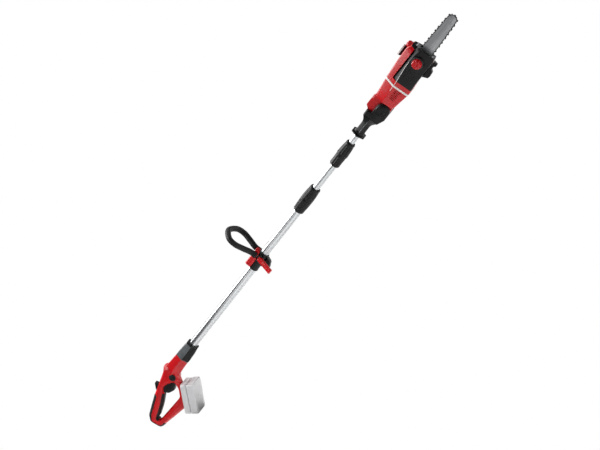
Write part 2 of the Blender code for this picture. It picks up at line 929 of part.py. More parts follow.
def lever(parent, pin_y, pin_z):
    """A flat lever that hangs beside the pole and leans outwards."""
    lean = math.radians(LEVER_LEAN)
    along = np.array([-math.sin(lean), -math.cos(lean)])
    across = np.array([-along[1], along[0]])
    eye = np.array([pin_y, pin_z])
    corners = [
        (*(eye + across * -LEVER_EYE_R), 0),
        (*(eye + across * LEVER_EYE_R * 0.6), 0),
        (*(eye + along * LEVER_LENGTH + across * 3), 3),
        (*(eye + along * (LEVER_LENGTH + 1) + across * -7), 3),
        (*(eye + along * LEVER_LENGTH * 0.5 + across * -6.5), 8),
    ]
    half = LEVER_WIDTH / 2 - RUN
    piece = plate(
        "clamp_lever", "red", parent, "YZ", [rounded(corners)], LOOP_X - half, LOOP_X + half, 1, 1
    )
    spread = rod(LOOP_X - half, LOOP_X + half, LEVER_EYE_R)
    combine(piece, turned("lever_eye", None, parent, "X", (0, pin_y, pin_z), spread, 16), "UNION")
    bore = rod(LOOP_X - 30, LOOP_X + 30, 2 + GAP)
    cut(piece, turned("lever_hole", None, parent, "X", (0, pin_y, pin_z), bore, 12))


def saddle_and_loop(parent, half, sleeve_r):
    slim = LOOP_FOOT_Y - LOOP_R - GAP
    saddle = box(
        "clamp_saddle",
        "red",
        parent,
        (-half + 3, -slim - 5, 8),
        (LOOP_X - LOOP_R - 1, slim + 5, sleeve_r + 15),
    )
    soften(saddle, 2.5, 2, 60)
    front = box(
        "saddle_front",
        None,
        parent,
        (LOOP_X - LOOP_R - 3, -slim, 8),
        (LOOP_X + LOOP_R + 3, slim, sleeve_r + 15),
    )
    combine(saddle, front, "UNION")
    bolt_z = LOOP_FOOT_Z + 9
    bolt_bore = rod(-60, 60, 2.5 + GAP)
    cut(
        saddle,
        turned("saddle_seat", None, parent, "X", (0, 0, 0), rod(-80, 80, sleeve_r + GAP), FINE),
        turned("saddle_hole", None, parent, "Y", (LOOP_X, 0, bolt_z), bolt_bore, 12),
    )
    reach = LOOP_FOOT_Y + LOOP_R - 2
    turned("loop_bolt", "steel", parent, "Y", (LOOP_X, 0, bolt_z), rod(-reach, reach, 2.5), 12)
    loop = loop_tube(parent)
    cut(loop, turned("loop_hole", None, parent, "Y", (LOOP_X, 0, bolt_z), bolt_bore, 12))


def loop_tube(parent):
    """The soft loop: up from a foot on each side of the pole, wide at two thirds, closed on top."""
    rise = LOOP_TOP - LOOP_FOOT_Z
    side = [
        (LOOP_FOOT_Y, LOOP_FOOT_Z),
        (LOOP_FOOT_Y + 0.5, LOOP_FOOT_Z + 0.18 * rise),
        (0.76 * LOOP_HALF_WIDTH, LOOP_FOOT_Z + 0.4 * rise),
        (LOOP_HALF_WIDTH, LOOP_FOOT_Z + 0.63 * rise),
        (0.84 * LOOP_HALF_WIDTH, LOOP_FOOT_Z + 0.85 * rise),
    ]
    points = [(-y, z) for y, z in side] + [(0, LOOP_TOP)] + side[::-1]
    curve = bpy.data.curves.new("loop_handle", "CURVE")
    curve.dimensions = "3D"
    curve.bevel_depth = LOOP_R * MM
    curve.bevel_resolution = 3
    curve.use_fill_caps = True
    curve.resolution_u = 4
    spline = curve.splines.new("BEZIER")
    spline.bezier_points.add(len(points) - 1)
    for knot, (y, z) in zip(spline.bezier_points, points):
        knot.co = (LOOP_X * MM, y * MM, z * MM)
        knot.handle_left_type = knot.handle_right_type = "AUTO"
    return welded(link("loop_curve", curve, None, parent), "loop_handle", "rubber")


# Neck, measured from the flange's rear face


def neck():
    parent = frame("neck_frame", (FLANGE_X, 0, 0))
    spigot_rear = COUPLING_FRONT - SPIGOT_SEAT - FLANGE_X
    spigot_front = 38.0
    turned(
        "head_spigot",
        "aluminium",
        parent,
        "X",
        (0, 0, 0),
        ring(spigot_rear, spigot_front, SPIGOT_R - SPIGOT_WALL, SPIGOT_R),
    )
    fork = loft(
        "neck_fork",
        "black",
        parent,
        [
            hexagon(0, 17, 15, -15),
            hexagon(48, 17, 15, -15),
            hexagon(58, 19, 17, -17),
            hexagon(80, 31, 27, -28, 0, 0.8, 0.8),
            hexagon(NECK_TO_PIVOT - KNUCKLE_REACH - 1, CHEEK_OUT, 27, -34, -2, 0.9, 0.9),
        ],
    )
    soften(fork, 2.5)
    flange = turned(
        "flange", None, parent, "X", (0, 0, 0), rod(0, FLANGE_THICKNESS, FLANGE_R), 6
    )
    soften(flange, 1)
    x, z = NECK_TO_PIVOT, PIVOT_Z
    cheek_outline = rounded(
        [
            (86, 24, 0),
            (104, 25, 6),
            (x - 27, z + CHEEK_R, 4),
            (x + CHEEK_R, z + CHEEK_R, CHEEK_R - 0.1),
            (x + CHEEK_R, z - CHEEK_R, CHEEK_R - 0.1),
            (x - 23, z - CHEEK_R, 6),
            (86, -29, 0),
        ],
        5,
    )
    for side in (-1, 1):
        low, high = sorted((side * CHEEK_IN, side * CHEEK_OUT))
        tag = "near" if side < 0 else "far"
        cheek = plate(f"cheek_{tag}", None, parent, "XZ", [cheek_outline], low, high, 1.2, 1)
        combine(fork, cheek, "UNION")
    combine(fork, flange, "UNION")
    recess, far = CHEEK_IN + 4.6, 60.0
    cut(
        fork,
        turned(
            "spigot_bore",
            None,
            parent,
            "X",
            (0, 0, 0),
            [
                (-5, 0),
                (-5, SPIGOT_R + GAP),
                (spigot_front + GAP, SPIGOT_R + GAP),
                (spigot_front + GAP, 6),
                (x, 6),
                (x, 0),
            ],
        ),
        turned(
            "pin_bore_fork",
            None,
            parent,
            "Y",
            (x, 0, z),
            [
                (-far, 0),
                (-far, BUTTON_R + RUN),
                (-recess, BUTTON_R + RUN),
                (-recess, PIN_BORE),
                (recess, PIN_BORE),
                (recess, BUTTON_R + GAP),
                (far, BUTTON_R + GAP),
                (far, 0),
            ],
        ),
    )
    turned("pivot_pin", "steel", parent, "Y", (x, 0, z), rod(-recess + GAP, recess - GAP, PIN_R), 16)
    disc("pivot_button", parent, (x, 0, z), -1, CHEEK_IN + 9)
    disc("pivot_cap", parent, (x, 0, z), 1, recess + GAP)


def disc(name, parent, at, side, inner):
    """A domed disc on one side of the tilt axis."""
    outer = CHEEK_OUT + 4
    turned(
        name,
        "black",
        parent,
        "Y",
        at,
        [
            (side * inner, 0),
            (side * inner, BUTTON_R),
            (side * (CHEEK_OUT + 0.5), BUTTON_R),
            (side * (outer - 1), BUTTON_R - 3),
            (side * outer, BUTTON_R - 8),
            (side * outer, 0),
        ],
    )


# Saw head, measured from the tilt axis

KNUCKLE_R = 22.0
KNUCKLE_REACH = 30.0
KNUCKLE_HALF = CHEEK_IN - RUN
KNUCKLE = [
    (0, -KNUCKLE_R, 0),
    (-KNUCKLE_R, -KNUCKLE_R, KNUCKLE_R - 0.1),
    (-KNUCKLE_REACH, 24, 4),
    (-KNUCKLE_REACH, 42, 6),
    (-20, 54, 8),
    (2, 54, 10),
    (14, 50, 6),
    (32, 49, 0),
    (32, -20, 0),
]
# x, ridge half width, top, bottom, ridge height
HOUSING = [
    (26, 37, 50, -22, 18),
    (60, 40, 52.5, -27, 20),
    (103, 41, 57.6, -34, 22),
    (121, 41, 59, -33, 23),
    (140, 41, 60.5, -31, 25),
    (180, 41, 63.5, -31, 29),
    (225, 39, 65, -31, 31),
    (240, 37, 62, -31, 30),
    (248, 33, 55, -28, 28),
]
# x, ridge half width, top, bottom, ridge height
COVER = [
    (COVER_REAR, 41.3, COVER_TOP - 1, -32, 23),
    (180, 41.3, COVER_TOP, -31, 28),
    (230, 40, COVER_TOP, -31, 28),
    (256, 37, COVER_TOP - 4, -30, 24),
    (COVER_FRONT, 33, COVER_TOP - 10, -27, 20),
]


def housing_ring(section, inset=0.0):
    x, ridge, top, bottom, ridge_z = section
    return hexagon(x, ridge - inset * 1.2, top - inset, bottom + inset, ridge_z, 0.62, 0.82)


def housing_rooms(name, parent):
    """The hollows of the housing between its ribs, one wall in from the outside."""
    ribs = (*MOTOR_RIBS, CASE_RIB)
    starts = [HOUSING_REAR + SHELL_WALL, *(x + RIB for x in ribs)]
    ends = [*ribs, HOUSING_FRONT - SHELL_WALL]
    rooms = []
    for i, (start, end) in enumerate(zip(starts, ends)):
        stations = [start, *(row[0] for row in HOUSING if start < row[0] < end), end]
        rings = [housing_ring(housing_section(x), SHELL_WALL) for x in stations]
        rooms.append(loft(f"{name}_room_{i}", None, parent, rings))
    return rooms


def motor_shell(side, name, parent):
    shell = loft(name, "red", parent, [housing_ring(section) for section in HOUSING])
    soften(shell, 3.5)
    knuckle = plate(
        name + "_knuckle", None, parent, "XZ", [rounded(KNUCKLE, 6)], -KNUCKLE_HALF, KNUCKLE_HALF, 1.5, 1
    )
    low, high = TRIM_X, TRIM_X + TRIM_WIDTH
    groove = loft(name + "_groove", None, parent, trim_rings(low, high, 4.0))
    cut(groove, loft(name + "_core", None, parent, trim_rings(low - 5, high + 5, -1.4)))
    combine(shell, knuckle, "UNION")
    cut(shell, *housing_rooms(name, parent))
    cut(
        shell,
        turned(
            name + "_motor",
            None,
            parent,
            "X",
            (0, MOTOR_Y, BAR_Z),
            rod(MOTOR_REAR - 1, MOTOR_REAR + MOTOR_LENGTH + 5, MOTOR_R + GAP),
        ),
        box(
            name + "_case",
            None,
            parent,
            (CASE_RIB - 2, SEAT_Y - GAP, CASE_BASE - GAP),
            (CASE_RIB + 8, CASE_WIDE + GAP, CASE_TOP + GAP),
        ),
        groove,
        turned(name + "_pin", None, parent, "Y", (0, 0, 0), rod(-60, 60, PIN_BORE), 16),
        turned(name + "_cap", None, parent, "Z", (CAP_X, CAP_Y, 0), rod(44, 90, CAP_R + 1), ROUND),
        turned(name + "_wires", None, parent, "X", (0, 0, 30), rod(-40, 32, 5), 12),
    )
    if side < 0:
        region = box(
            name + "_cover",
            None,
            parent,
            (COVER_REAR - GAP, -80, -60),
            (HOUSING_FRONT + 20, SEAT_Y - 0.8, COVER_TOP + GAP),
        )
        cut(shell, region)
        seat = box(
            name + "_bar_way",
            None,
            parent,
            (COVER_REAR + 4, -80, -24),
            (HOUSING_FRONT + 20, 5, COVER_TOP - 6),
        )
        cut(shell, seat)
    combine(shell, halfspace(name + "_side", parent, side), "INTERSECT")
    return shell


def housing_section(x):
    """The housing's section at x, between the two stated ones beside it."""
    columns = np.array(HOUSING).T
    return [x] + [float(np.interp(x, columns[0], column)) for column in columns[1:]]


def trim_rings(low, high, grow):
    """Two rings that follow the housing, grown outwards."""
    return [housing_ring(housing_section(x), -grow) for x in (low, high)]


def trim_ring(parent):
    piece = loft("trim_ring", "pale", parent, trim_rings(TRIM_X + GAP, TRIM_X + TRIM_WIDTH - GAP, 0.8))
    soften(piece, 3.5, 2, 35)
    hole = loft("trim_hole", None, parent, trim_rings(TRIM_X - 5, TRIM_X + TRIM_WIDTH + 5, -1.4 + GAP))
    return cut(piece, hole)


def sprocket_cover(parent):
    """The cover over the sprocket, open towards the bar and at the front where the bar leaves."""

    def rings(inset, inner_y, extra):
        made = []
        for i, (x, ridge, top, bottom, ridge_z) in enumerate(COVER):
            x += {0: inset, len(COVER) - 1: -inset + extra}.get(i, 0)
            made.append(
                [
                    (x, inner_y, top - inset),
                    (x, -ridge * 0.66 + inset * 0.6, top - inset),
                    (x, -ridge + inset * 1.2, ridge_z),
                    (x, -ridge * 0.84 + inset, bottom + inset),
                    (x, inner_y, bottom + inset),
                ]
            )
        return made

    cover = loft("sprocket_cover", "black", parent, rings(0, SEAT_Y - 1.0, 0))
    soften(cover, 3.0)
    boss_r = KNOB_R + 5
    boss = rod(BOSS_Y, -30, boss_r)
    combine(
        cover,
        turned("cover_boss", None, parent, "Y", (STUD_X, 0, BAR_Z), boss, FINE),
        "UNION",
    )
    reach = BAR_BASE_HALF + CHAIN_DEPTH + 3
    cut(
        cover,
        loft("cover_room", None, parent, rings(SHELL_WALL, 10, 0)),
    )
    clamp = rod(BOSS_Y + 3, BAR_Y - BAR_THICKNESS / 2 - GAP, 9)
    combine(cover, turned("cover_clamp", None, parent, "Y", (STUD_X, 0, BAR_Z), clamp), "UNION")
    cut(
        cover,
        box(
            "bar_exit",
            None,
            parent,
            (COVER_FRONT - 30, BAR_Y - CHAIN_WIDTH / 2 - 3, BAR_Z - reach),
            (COVER_FRONT + 20, 20, BAR_Z + reach),
        ),
        turned("cover_stud_hole", None, parent, "Y", (STUD_X, 0, BAR_Z), rod(-60, 5, STUD_R + GAP), 16),
    )
    return cover


def tooth_heights(teeth, addendum, dedendum):
    """Angles and heights of a ring of straight teeth, four points a tooth."""
    shares = ((-0.21, -dedendum), (-0.09, addendum), (0.09, addendum), (0.21, -dedendum))
    return [
        ((tooth + share) * math.tau / teeth, height)
        for tooth in range(teeth)
        for share, height in shares
    ]


def bevel_pair(parent):
    """A bevel gear about the sprocket's axis, and the pinion on the motor's shaft that meets it."""
    module = 2 * GEAR_R / GEAR_TEETH
    lean = PINION_R / GEAR_R
    heights = tooth_heights(GEAR_TEETH, 0.85 * module, module)
    bore, back = SHAFT_R + 0.15, PINION_R + 6

    def gear_ring(radius, y, toothed):
        scale = radius / GEAR_R
        return [
            (radius * math.cos(a), y - (h * scale if toothed else 0), radius * math.sin(a))
            for a, h in heights
        ]

    def band(radius, y):
        return gear_ring(radius, y, False)

    rows = [
        band(bore, GEAR_INNER_R * lean + 3),
        band(GEAR_INNER_R - 2, GEAR_INNER_R * lean + 3),
        gear_ring(GEAR_INNER_R, GEAR_INNER_R * lean, True),
        gear_ring(GEAR_R, GEAR_R * lean, True),
        band(GEAR_R, back),
        band(bore, back),
    ]
    gear = closed_rings("bevel_gear", "steel", parent, rows)
    gear.location = (SPROCKET_X * MM, MOTOR_Y * MM, BAR_Z * MM)

    half_pitch = math.pi / PINION_TEETH
    pinion_heights = tooth_heights(PINION_TEETH, 0.85 * module, module)

    def pinion_ring(distance, scale_height=True):
        scale = distance / GEAR_R
        return [
            (
                -distance,
                (PINION_R + h) * scale * math.cos(a + half_pitch),
                (PINION_R + h) * scale * math.sin(a + half_pitch),
            )
            for a, h in pinion_heights
        ]

    def plain(distance, radius):
        return [
            (-distance, radius * math.cos(a + half_pitch), radius * math.sin(a + half_pitch))
            for a, _ in pinion_heights
        ]

    bore_r = MOTOR_SHAFT_R + 0.15
    rows = [
        plain(GEAR_R + 4, bore_r),
        plain(GEAR_R + 4, PINION_R - module - 0.3),
        plain(GEAR_R + 0.01, PINION_R - module - 0.3),
        pinion_ring(GEAR_R),
        pinion_ring(GEAR_INNER_R + 1),
        plain(GEAR_INNER_R + 1, bore_r),
    ]
    pinion = closed_rings("bevel_pinion", "steel", parent, rows)
    pinion.location = (SPROCKET_X * MM, MOTOR_Y * MM, BAR_Z * MM)


def closed_rings(name, look, parent, rows):
    """Rings joined in order and back to the first, as a bored piece."""
    mesh = bpy.data.meshes.new(name)
    work = bmesh.new()
    made = [[work.verts.new(np.array(point) * MM) for point in row] for row in rows]
    count = len(made[0])
    for first, second in zip(made, made[1:] + made[:1]):
        for i in range(count):
            j = (i + 1) % count
            work.faces.new((first[i], first[j], second[j], second[i]))
    face_out(work)
    work.to_mesh(mesh)
    work.free()
    return link(name, mesh, look, parent)


def drive(parent):
    """Motor, gears, sprocket and the case that carries them."""
    axis_at = (0, MOTOR_Y, BAR_Z)
    front = MOTOR_REAR + MOTOR_LENGTH
    turned(
        "motor_can", "steel", parent, "X", axis_at, ring(MOTOR_REAR, front, MOTOR_SHAFT_R + RUN, MOTOR_R)
    )
    shaft_end = SPROCKET_X - GEAR_INNER_R - 2
    rotor = turned("motor_rotor", "steel", parent, "X", axis_at, rod(MOTOR_REAR - 4, shaft_end, MOTOR_SHAFT_R), 16)
    hub = rod(front + 1.5, front + 8, 7)
    combine(rotor, turned("fan_hub", None, parent, "X", axis_at, hub, 16), "UNION")
    for i in range(6):
        blade = box(f"fan_blade_{i}", None, parent, (front + 2, -1, 4), (front + 7.5, 1, MOTOR_R - 2))
        blade.location = (0, MOTOR_Y * MM, BAR_Z * MM)
        blade.rotation_euler = (math.tau * i / 6, 0, 0)
        combine(rotor, blade, "UNION")
    bevel_pair(parent)
    at = (SPROCKET_X, 0, BAR_Z)
    turned("sprocket_shaft", "steel", parent, "Y", at, rod(-24, 29, SHAFT_R), 16)
    turned("shaft_bearing", "steel", parent, "Y", at, ring(-3, 1.8, SHAFT_R + 0.1, 9))
    wheel = turned(
        "drive_sprocket",
        "steel",
        parent,
        "Y",
        at,
        ring(BAR_Y - 4.5, BAR_Y + 4.5, SHAFT_R + 0.15, SPROCKET_R),
    )
    for i in range(SPROCKET_TEETH):
        angle = math.tau * (i + 0.5) / SPROCKET_TEETH
        x = SPROCKET_X + SPROCKET_R * math.cos(angle) * 1.12
        z = BAR_Z + SPROCKET_R * math.sin(angle) * 1.12
        cut(wheel, turned(f"gullet_{i}", None, parent, "Y", (x, 0, z), rod(-20, -4, 4.5), 12))
    gearcase(parent)


def gearcase(parent):
    """The case round the gears, with the flat seat that the bar is clamped against."""
    case = box("gearcase", "grey", parent, (CASE_REAR, SEAT_Y, CASE_BASE), (CASE_FRONT, CASE_WIDE, CASE_TOP))
    soften(case, 2, 1, 60)
    front = 244
    seat = box("bar_seat", None, parent, (CASE_FRONT - 10, SEAT_Y, CASE_BASE), (front, 1.5, CASE_TOP))
    face = BAR_Y + BAR_THICKNESS / 2 + GAP
    pad = box(
        "bar_pad",
        None,
        parent,
        (CASE_FRONT - 1, face, BAR_Z - BAR_BASE_HALF + 4),
        (front - 2, 0, BAR_Z + BAR_BASE_HALF - 4),
    )
    combine(case, seat, "UNION")
    combine(case, pad, "UNION")
    at = (SPROCKET_X, 0, BAR_Z)
    cut(
        case,
        turned("gear_room", None, parent, "Y", at, rod(2.2, 60, GEAR_R + 3)),
        turned("pinion_room", None, parent, "X", (0, MOTOR_Y, BAR_Z), rod(100, SPROCKET_X, PINION_R + 4)),
        turned("bearing_seat", None, parent, "Y", at, rod(-3.3, 10, 9 + GAP)),
        turned("shaft_way", None, parent, "Y", at, rod(-20, 10, SHAFT_R + RUN), 16),
        turned("stud_seat", None, parent, "Y", (STUD_X, 0, BAR_Z), rod(-20, 20, STUD_R + GAP), 16),
    )


def oil_parts(parent):
    tank = box("oil_tank", "pale", parent, (CASE_FRONT + GAP, 2.0, -24), (242, 26, 40))
    soften(tank, 3, 2, 60)
    combine(
        tank, turned("tank_neck", None, parent, "Z", (CAP_X, CAP_Y + 9, 0), rod(35, 50, 6.5)), "UNION"
    )
    cut(
        tank,
        box("tank_room", None, parent, (CASE_FRONT + 2.5, 4.2, -21.5), (239.5, 23.8, 37.5)),
        turned("filler", None, parent, "Z", (CAP_X, CAP_Y + 9, 0), rod(30, 60, 4.6)),
    )
    cap = turned(
        "oil_cap",
        "black",
        parent,
        "Z",
        (CAP_X, CAP_Y, 0),
        [
            (50 + GAP, 0),
            (50 + GAP, 16),
            (62, 16),
            (69, 17.5),
            (70.5, CAP_R),
            (76, CAP_R),
            (78, CAP_R - 3),
            (78, 0),
        ],
        FINE,
    )
    return cap


def cutting_set(parent):
    """Bar, chain, nose wheel, stud, knob and tension ring."""
    nose = np.array([NOSE_X, BAR_Z])
    upper = bar_edge(0.0)
    bar_outline = [(BAR_REAR, BAR_Z + 11), *upper, *mirrored(upper), (BAR_REAR, BAR_Z - 11)]
    half = BAR_THICKNESS / 2
    bar = plate("guide_bar", "steel", parent, "XZ", [bar_outline], BAR_Y - half, BAR_Y + half)
    slot = rounded(
        [
            (STUD_X - 20, BAR_Z - STUD_R - RUN, 3.5),
            (STUD_X + 12, BAR_Z - STUD_R - RUN, 3.5),
            (STUD_X + 12, BAR_Z + STUD_R + RUN, 3.5),
            (STUD_X - 20, BAR_Z + STUD_R + RUN, 3.5),
        ]
    )
    cut(
        bar,
        plate("bar_slot", None, parent, "XZ", [slot], BAR_Y - 10, BAR_Y + 10),
        turned(
            "nose_slot",
            None,
            parent,
            "Y",
            (nose[0], 0, nose[1]),
            ring(BAR_Y - 0.9, BAR_Y + 0.9, 3, NOSE_R + 5),
            FINE,
        ),
    )
    wheel = turned(
        "nose_sprocket",
        "steel",
        parent,
        "Y",
        (nose[0], 0, nose[1]),
        ring(BAR_Y - 0.6, BAR_Y + 0.6, 3 + GAP, NOSE_R - 0.4),
        ROUND,
    )
    chain_ring(parent)
    turned(
        "bar_stud", "steel", parent, "Y", (STUD_X, 0, BAR_Z), rod(-52, 1.2, STUD_R), 16
    )
    ring_out = BOSS_Y - GAP
    turned(
        "tension_ring",
        "pale",
        parent,
        "Y",
        (STUD_X, 0, BAR_Z),
        ring(ring_out - 4, ring_out, STUD_R + RUN, KNOB_R + 4),
        FINE,
    )
    base = ring_out - 4 - GAP
    tip = base - KNOB_HEIGHT
    turned(
        "cover_knob",
        "red",
        parent,
        "Y",
        (STUD_X, 0, BAR_Z),
        [
            (base, STUD_R + RUN),
            (base, KNOB_R),
            (tip + 5, KNOB_R - 1),
            (tip + 1.5, KNOB_R - 4),
            (tip, KNOB_R - 9),
            (tip, 0),
            (tip + 6, 0),
            (tip + 6, STUD_R + RUN),
        ],
        FINE,
    )
    return wheel


def bar_half(x):
    """Half height of the bar at x: nearly straight, then drawn in towards the nose."""
    share = np.clip((x - BAR_REAR) / (NOSE_X - BAR_REAR), 0, 1)
    return BAR_BASE_HALF + (NOSE_R - BAR_BASE_HALF) * share**2.2


def bar_edge(grow):
    """The bar's upper edge and the upper half of its nose, moved out by grow."""
    along = [(x, BAR_Z + bar_half(x) + grow) for x in np.linspace(BAR_REAR + 12, NOSE_X - 6, 7)]
    turn = [
        (NOSE_X + (NOSE_R + grow) * math.sin(a), BAR_Z + (NOSE_R + grow) * math.cos(a))
        for a in np.linspace(0.0, math.pi / 2, 6)
    ]
    return along + turn


def mirrored(upper):
    """The same points below the bar's middle, from the nose back, without the tip again."""
    return [(x, 2 * BAR_Z - z) for x, z in upper[-2::-1]]


def chain_ring(parent):
    """The chain as one band that runs round the bar and the drive sprocket."""

    def loop(grow):
        upper = bar_edge(grow)
        radius = SPROCKET_R + grow
        turn = [
            (SPROCKET_X - radius * math.sin(a), BAR_Z - radius * math.cos(a))
            for a in np.linspace(0, math.pi, 17)
        ]
        return upper + mirrored(upper) + turn

    low, high = BAR_Y - CHAIN_WIDTH / 2, BAR_Y + CHAIN_WIDTH / 2
    return plate("saw_chain", "chain", parent, "XZ", [loop(CHAIN_DEPTH), loop(GAP)], low, high)


def front_metal(parent):
    """The spikes at the front of the head, and the hook below it."""
    outline = [(SEAT_Y, -29), (12, -29), (12, 46), (SEAT_Y, 46)]
    plane = HOUSING_FRONT + GAP
    spikes = plate("spike_plate", "steel", parent, "YZ", [outline], plane, plane + 2)
    for tag, z in (("upper", 41), ("lower", -26)):
        spike = turned(
            f"spike_{tag}",
            None,
            parent,
            "X",
            (0, SEAT_Y + 4, z),
            [(plane + 1, 0), (plane + 1, 3.5), (plane + 16, 0.6), (plane + 16, 0)],
            12,
        )
        combine(spikes, spike, "UNION")
    under = HOUSING[5][3] - GAP
    hook = [
        (174, under, 0),
        (182, -49, 2),
        (190, -51, 2),
        (206, -49, 3),
        (214, -41, 5),
        (238, -41, 3),
        (239, under, 0),
    ]
    plate("limb_hook", "black", parent, "XZ", [rounded(hook)], -4, 12, 1.5, 1)


def saw_head():
    parent = frame("head_frame", (PIVOT_X, 0, PIVOT_Z))
    motor_shell(-1, "motor_shell_left", parent)
    motor_shell(1, "motor_shell_right", parent)
    trim_ring(parent)
    sprocket_cover(parent)
    drive(parent)
    oil_parts(parent)
    cutting_set(parent)
    front_metal(parent)


for leftover in list(bpy.data.objects):
    bpy.data.objects.remove(leftover)
PARTS = bpy.data.collections.new("telescoping_pole_saw")
CUTTERS = bpy.data.collections.new("cutters")
bpy.context.scene.collection.children.link(PARTS)
bpy.context.scene.collection.children.link(CUTTERS)

rear_handle()
pole()
front_handle()
neck()
saw_head()

for piece in PARTS.objects:
    if piece.type == "MESH":
        smooth(piece)
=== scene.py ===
"""A telescoping pole saw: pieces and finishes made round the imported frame.

The pole lies along X with the saw towards +X, +Z is the tool's upper side, and -Y is the side of
the sprocket cover. Sizes in the tables are in millimetres.
"""

import json
import math

import bmesh
import bpy
import numpy as np
from mathutils import Matrix, Vector

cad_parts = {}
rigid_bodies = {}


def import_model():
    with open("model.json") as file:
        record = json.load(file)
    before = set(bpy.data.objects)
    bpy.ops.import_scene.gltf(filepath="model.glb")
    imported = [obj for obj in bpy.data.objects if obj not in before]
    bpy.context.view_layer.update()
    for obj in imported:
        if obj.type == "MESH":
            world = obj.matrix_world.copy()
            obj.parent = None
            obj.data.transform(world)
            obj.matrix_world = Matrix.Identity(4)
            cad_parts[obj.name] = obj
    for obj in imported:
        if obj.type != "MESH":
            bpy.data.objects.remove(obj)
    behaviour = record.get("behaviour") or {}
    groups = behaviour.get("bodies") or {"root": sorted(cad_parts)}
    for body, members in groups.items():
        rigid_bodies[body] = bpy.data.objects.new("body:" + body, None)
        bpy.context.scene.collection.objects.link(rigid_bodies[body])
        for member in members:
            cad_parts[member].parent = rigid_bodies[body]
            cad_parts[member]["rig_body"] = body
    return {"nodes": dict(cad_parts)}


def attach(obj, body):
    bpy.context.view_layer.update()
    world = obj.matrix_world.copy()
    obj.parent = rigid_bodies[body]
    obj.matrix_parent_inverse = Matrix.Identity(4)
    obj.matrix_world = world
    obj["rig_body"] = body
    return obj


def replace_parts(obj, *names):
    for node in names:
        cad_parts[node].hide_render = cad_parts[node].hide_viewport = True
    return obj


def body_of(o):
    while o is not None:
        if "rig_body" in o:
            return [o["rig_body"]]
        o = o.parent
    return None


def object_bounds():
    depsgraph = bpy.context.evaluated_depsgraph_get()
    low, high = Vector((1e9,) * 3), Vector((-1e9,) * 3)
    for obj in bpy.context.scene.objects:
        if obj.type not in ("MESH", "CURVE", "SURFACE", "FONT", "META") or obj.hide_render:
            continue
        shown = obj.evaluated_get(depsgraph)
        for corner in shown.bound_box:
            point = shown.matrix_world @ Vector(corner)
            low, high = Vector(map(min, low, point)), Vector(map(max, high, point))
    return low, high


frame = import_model()
CAD_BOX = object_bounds()
MM = 0.001
SEAM = 0.2          # half the gap between two moulded halves
SIDES = ((-1, "left"), (1, "right"))
FACES = ((-1, "near"), (1, "far"))

# Places along X, and the pole's radii
HANDLE_X = -682.0
CLAMP_X = -208.0
FLANGE_X = 392.0
LOOP_X = CLAMP_X + 17
CLAMP_AT = (CLAMP_X, 0, 0)
LOOP_AT = (LOOP_X, 0, 0)
FLANGE_AT = (FLANGE_X, 0, 0)
TUBE_R = 14.0
INNER_R = 12.0
SPIGOT_R = 10.0
# The tilt axis, and what is measured from it
PIVOT = (527.0, 0.0, -16.0)
STUD_X = 221.0
BAR_Y = -12.0
BAR_Z = 6.0
SPROCKET_X = 161.0
SPROCKET_R = 17.0
NOSE_X = 407.5
NOSE_R = 14.0


# Materials


def linear(hex_colour):
    """An sRGB hex colour as linear light, with alpha 1."""
    rgb = np.array([int(hex_colour[i : i + 2], 16) for i in (0, 2, 4)]) / 255
    rgb = np.where(rgb <= 0.04045, rgb / 12.92, ((rgb + 0.055) / 1.055) ** 2.4)
    return (*rgb, 1.0)


def add(tree, kind, links=None, inputs=None, **settings):
    """One shader node with its settings, its own input values and the sockets that feed it."""
    made = tree.nodes.new("ShaderNode" + kind)
    for key, value in settings.items():
        setattr(made, key, value)
    for key, value in (inputs or {}).items():
        made.inputs[key].default_value = value
    for key, source in (links or {}).items():
        tree.links.new(source, made.inputs[key])
    return made


def finish(
    name, colours, rough, patch, grain, depth, metal=0.0, stretch=(1, 1, 1), cells=False, **sockets
):
    """A finish from two patterns on Object coordinates. A broad one, patch mm across, mixes the two
    colours and moves the roughness between its two values. A fine one, grain mm across and
    stretched along an axis by the given factors, raises the surface by depth mm."""
    made = bpy.data.materials.new(name)
    made.use_nodes = True
    tree = made.node_tree
    shader = tree.nodes["Principled BSDF"]
    place = add(tree, "TexCoord").outputs["Object"]
    broad_way, fine_way = (
        add(tree, "Mapping", {"Vector": place}, {"Scale": [s / (size * MM) for s in stretch]})
        for size in (patch, grain)
    )
    broad = add(
        tree, "TexNoise", {"Vector": broad_way.outputs[0]}, {"Scale": 1.0, "Detail": 4.0, "Roughness": 0.6}
    ).outputs["Fac"]
    kind, values = ("TexVoronoi", {}) if cells else ("TexNoise", {"Detail": 3.0, "Roughness": 0.55})
    fine = add(tree, kind, {"Vector": fine_way.outputs[0]}, {"Scale": 1.0, **values}).outputs[0]
    share = add(tree, "MapRange", {"Value": broad}, {"From Min": 0.35, "From Max": 0.65}).outputs["Result"]
    ends = {6: linear(colours[0]), 7: linear(colours[1])}
    tint = add(tree, "Mix", {"Factor": share}, ends, data_type="RGBA")
    tree.links.new(tint.outputs[2], shader.inputs["Base Color"])
    dull = add(
        tree, "MapRange", {"Value": broad},
        {"From Min": 0.3, "From Max": 0.7, "To Min": rough[0], "To Max": rough[1]},
    ).outputs["Result"]
    tree.links.new(dull, shader.inputs["Roughness"])
    relief = add(tree, "Bump", {"Height": fine}, {"Strength": 1.0, "Distance": depth * MM})
    tree.links.new(relief.outputs["Normal"], shader.inputs["Normal"])
    shader.inputs["Metallic"].default_value = metal
    for key, value in sockets.items():
        shader.inputs[key.replace("_", " ")].default_value = value
    return made


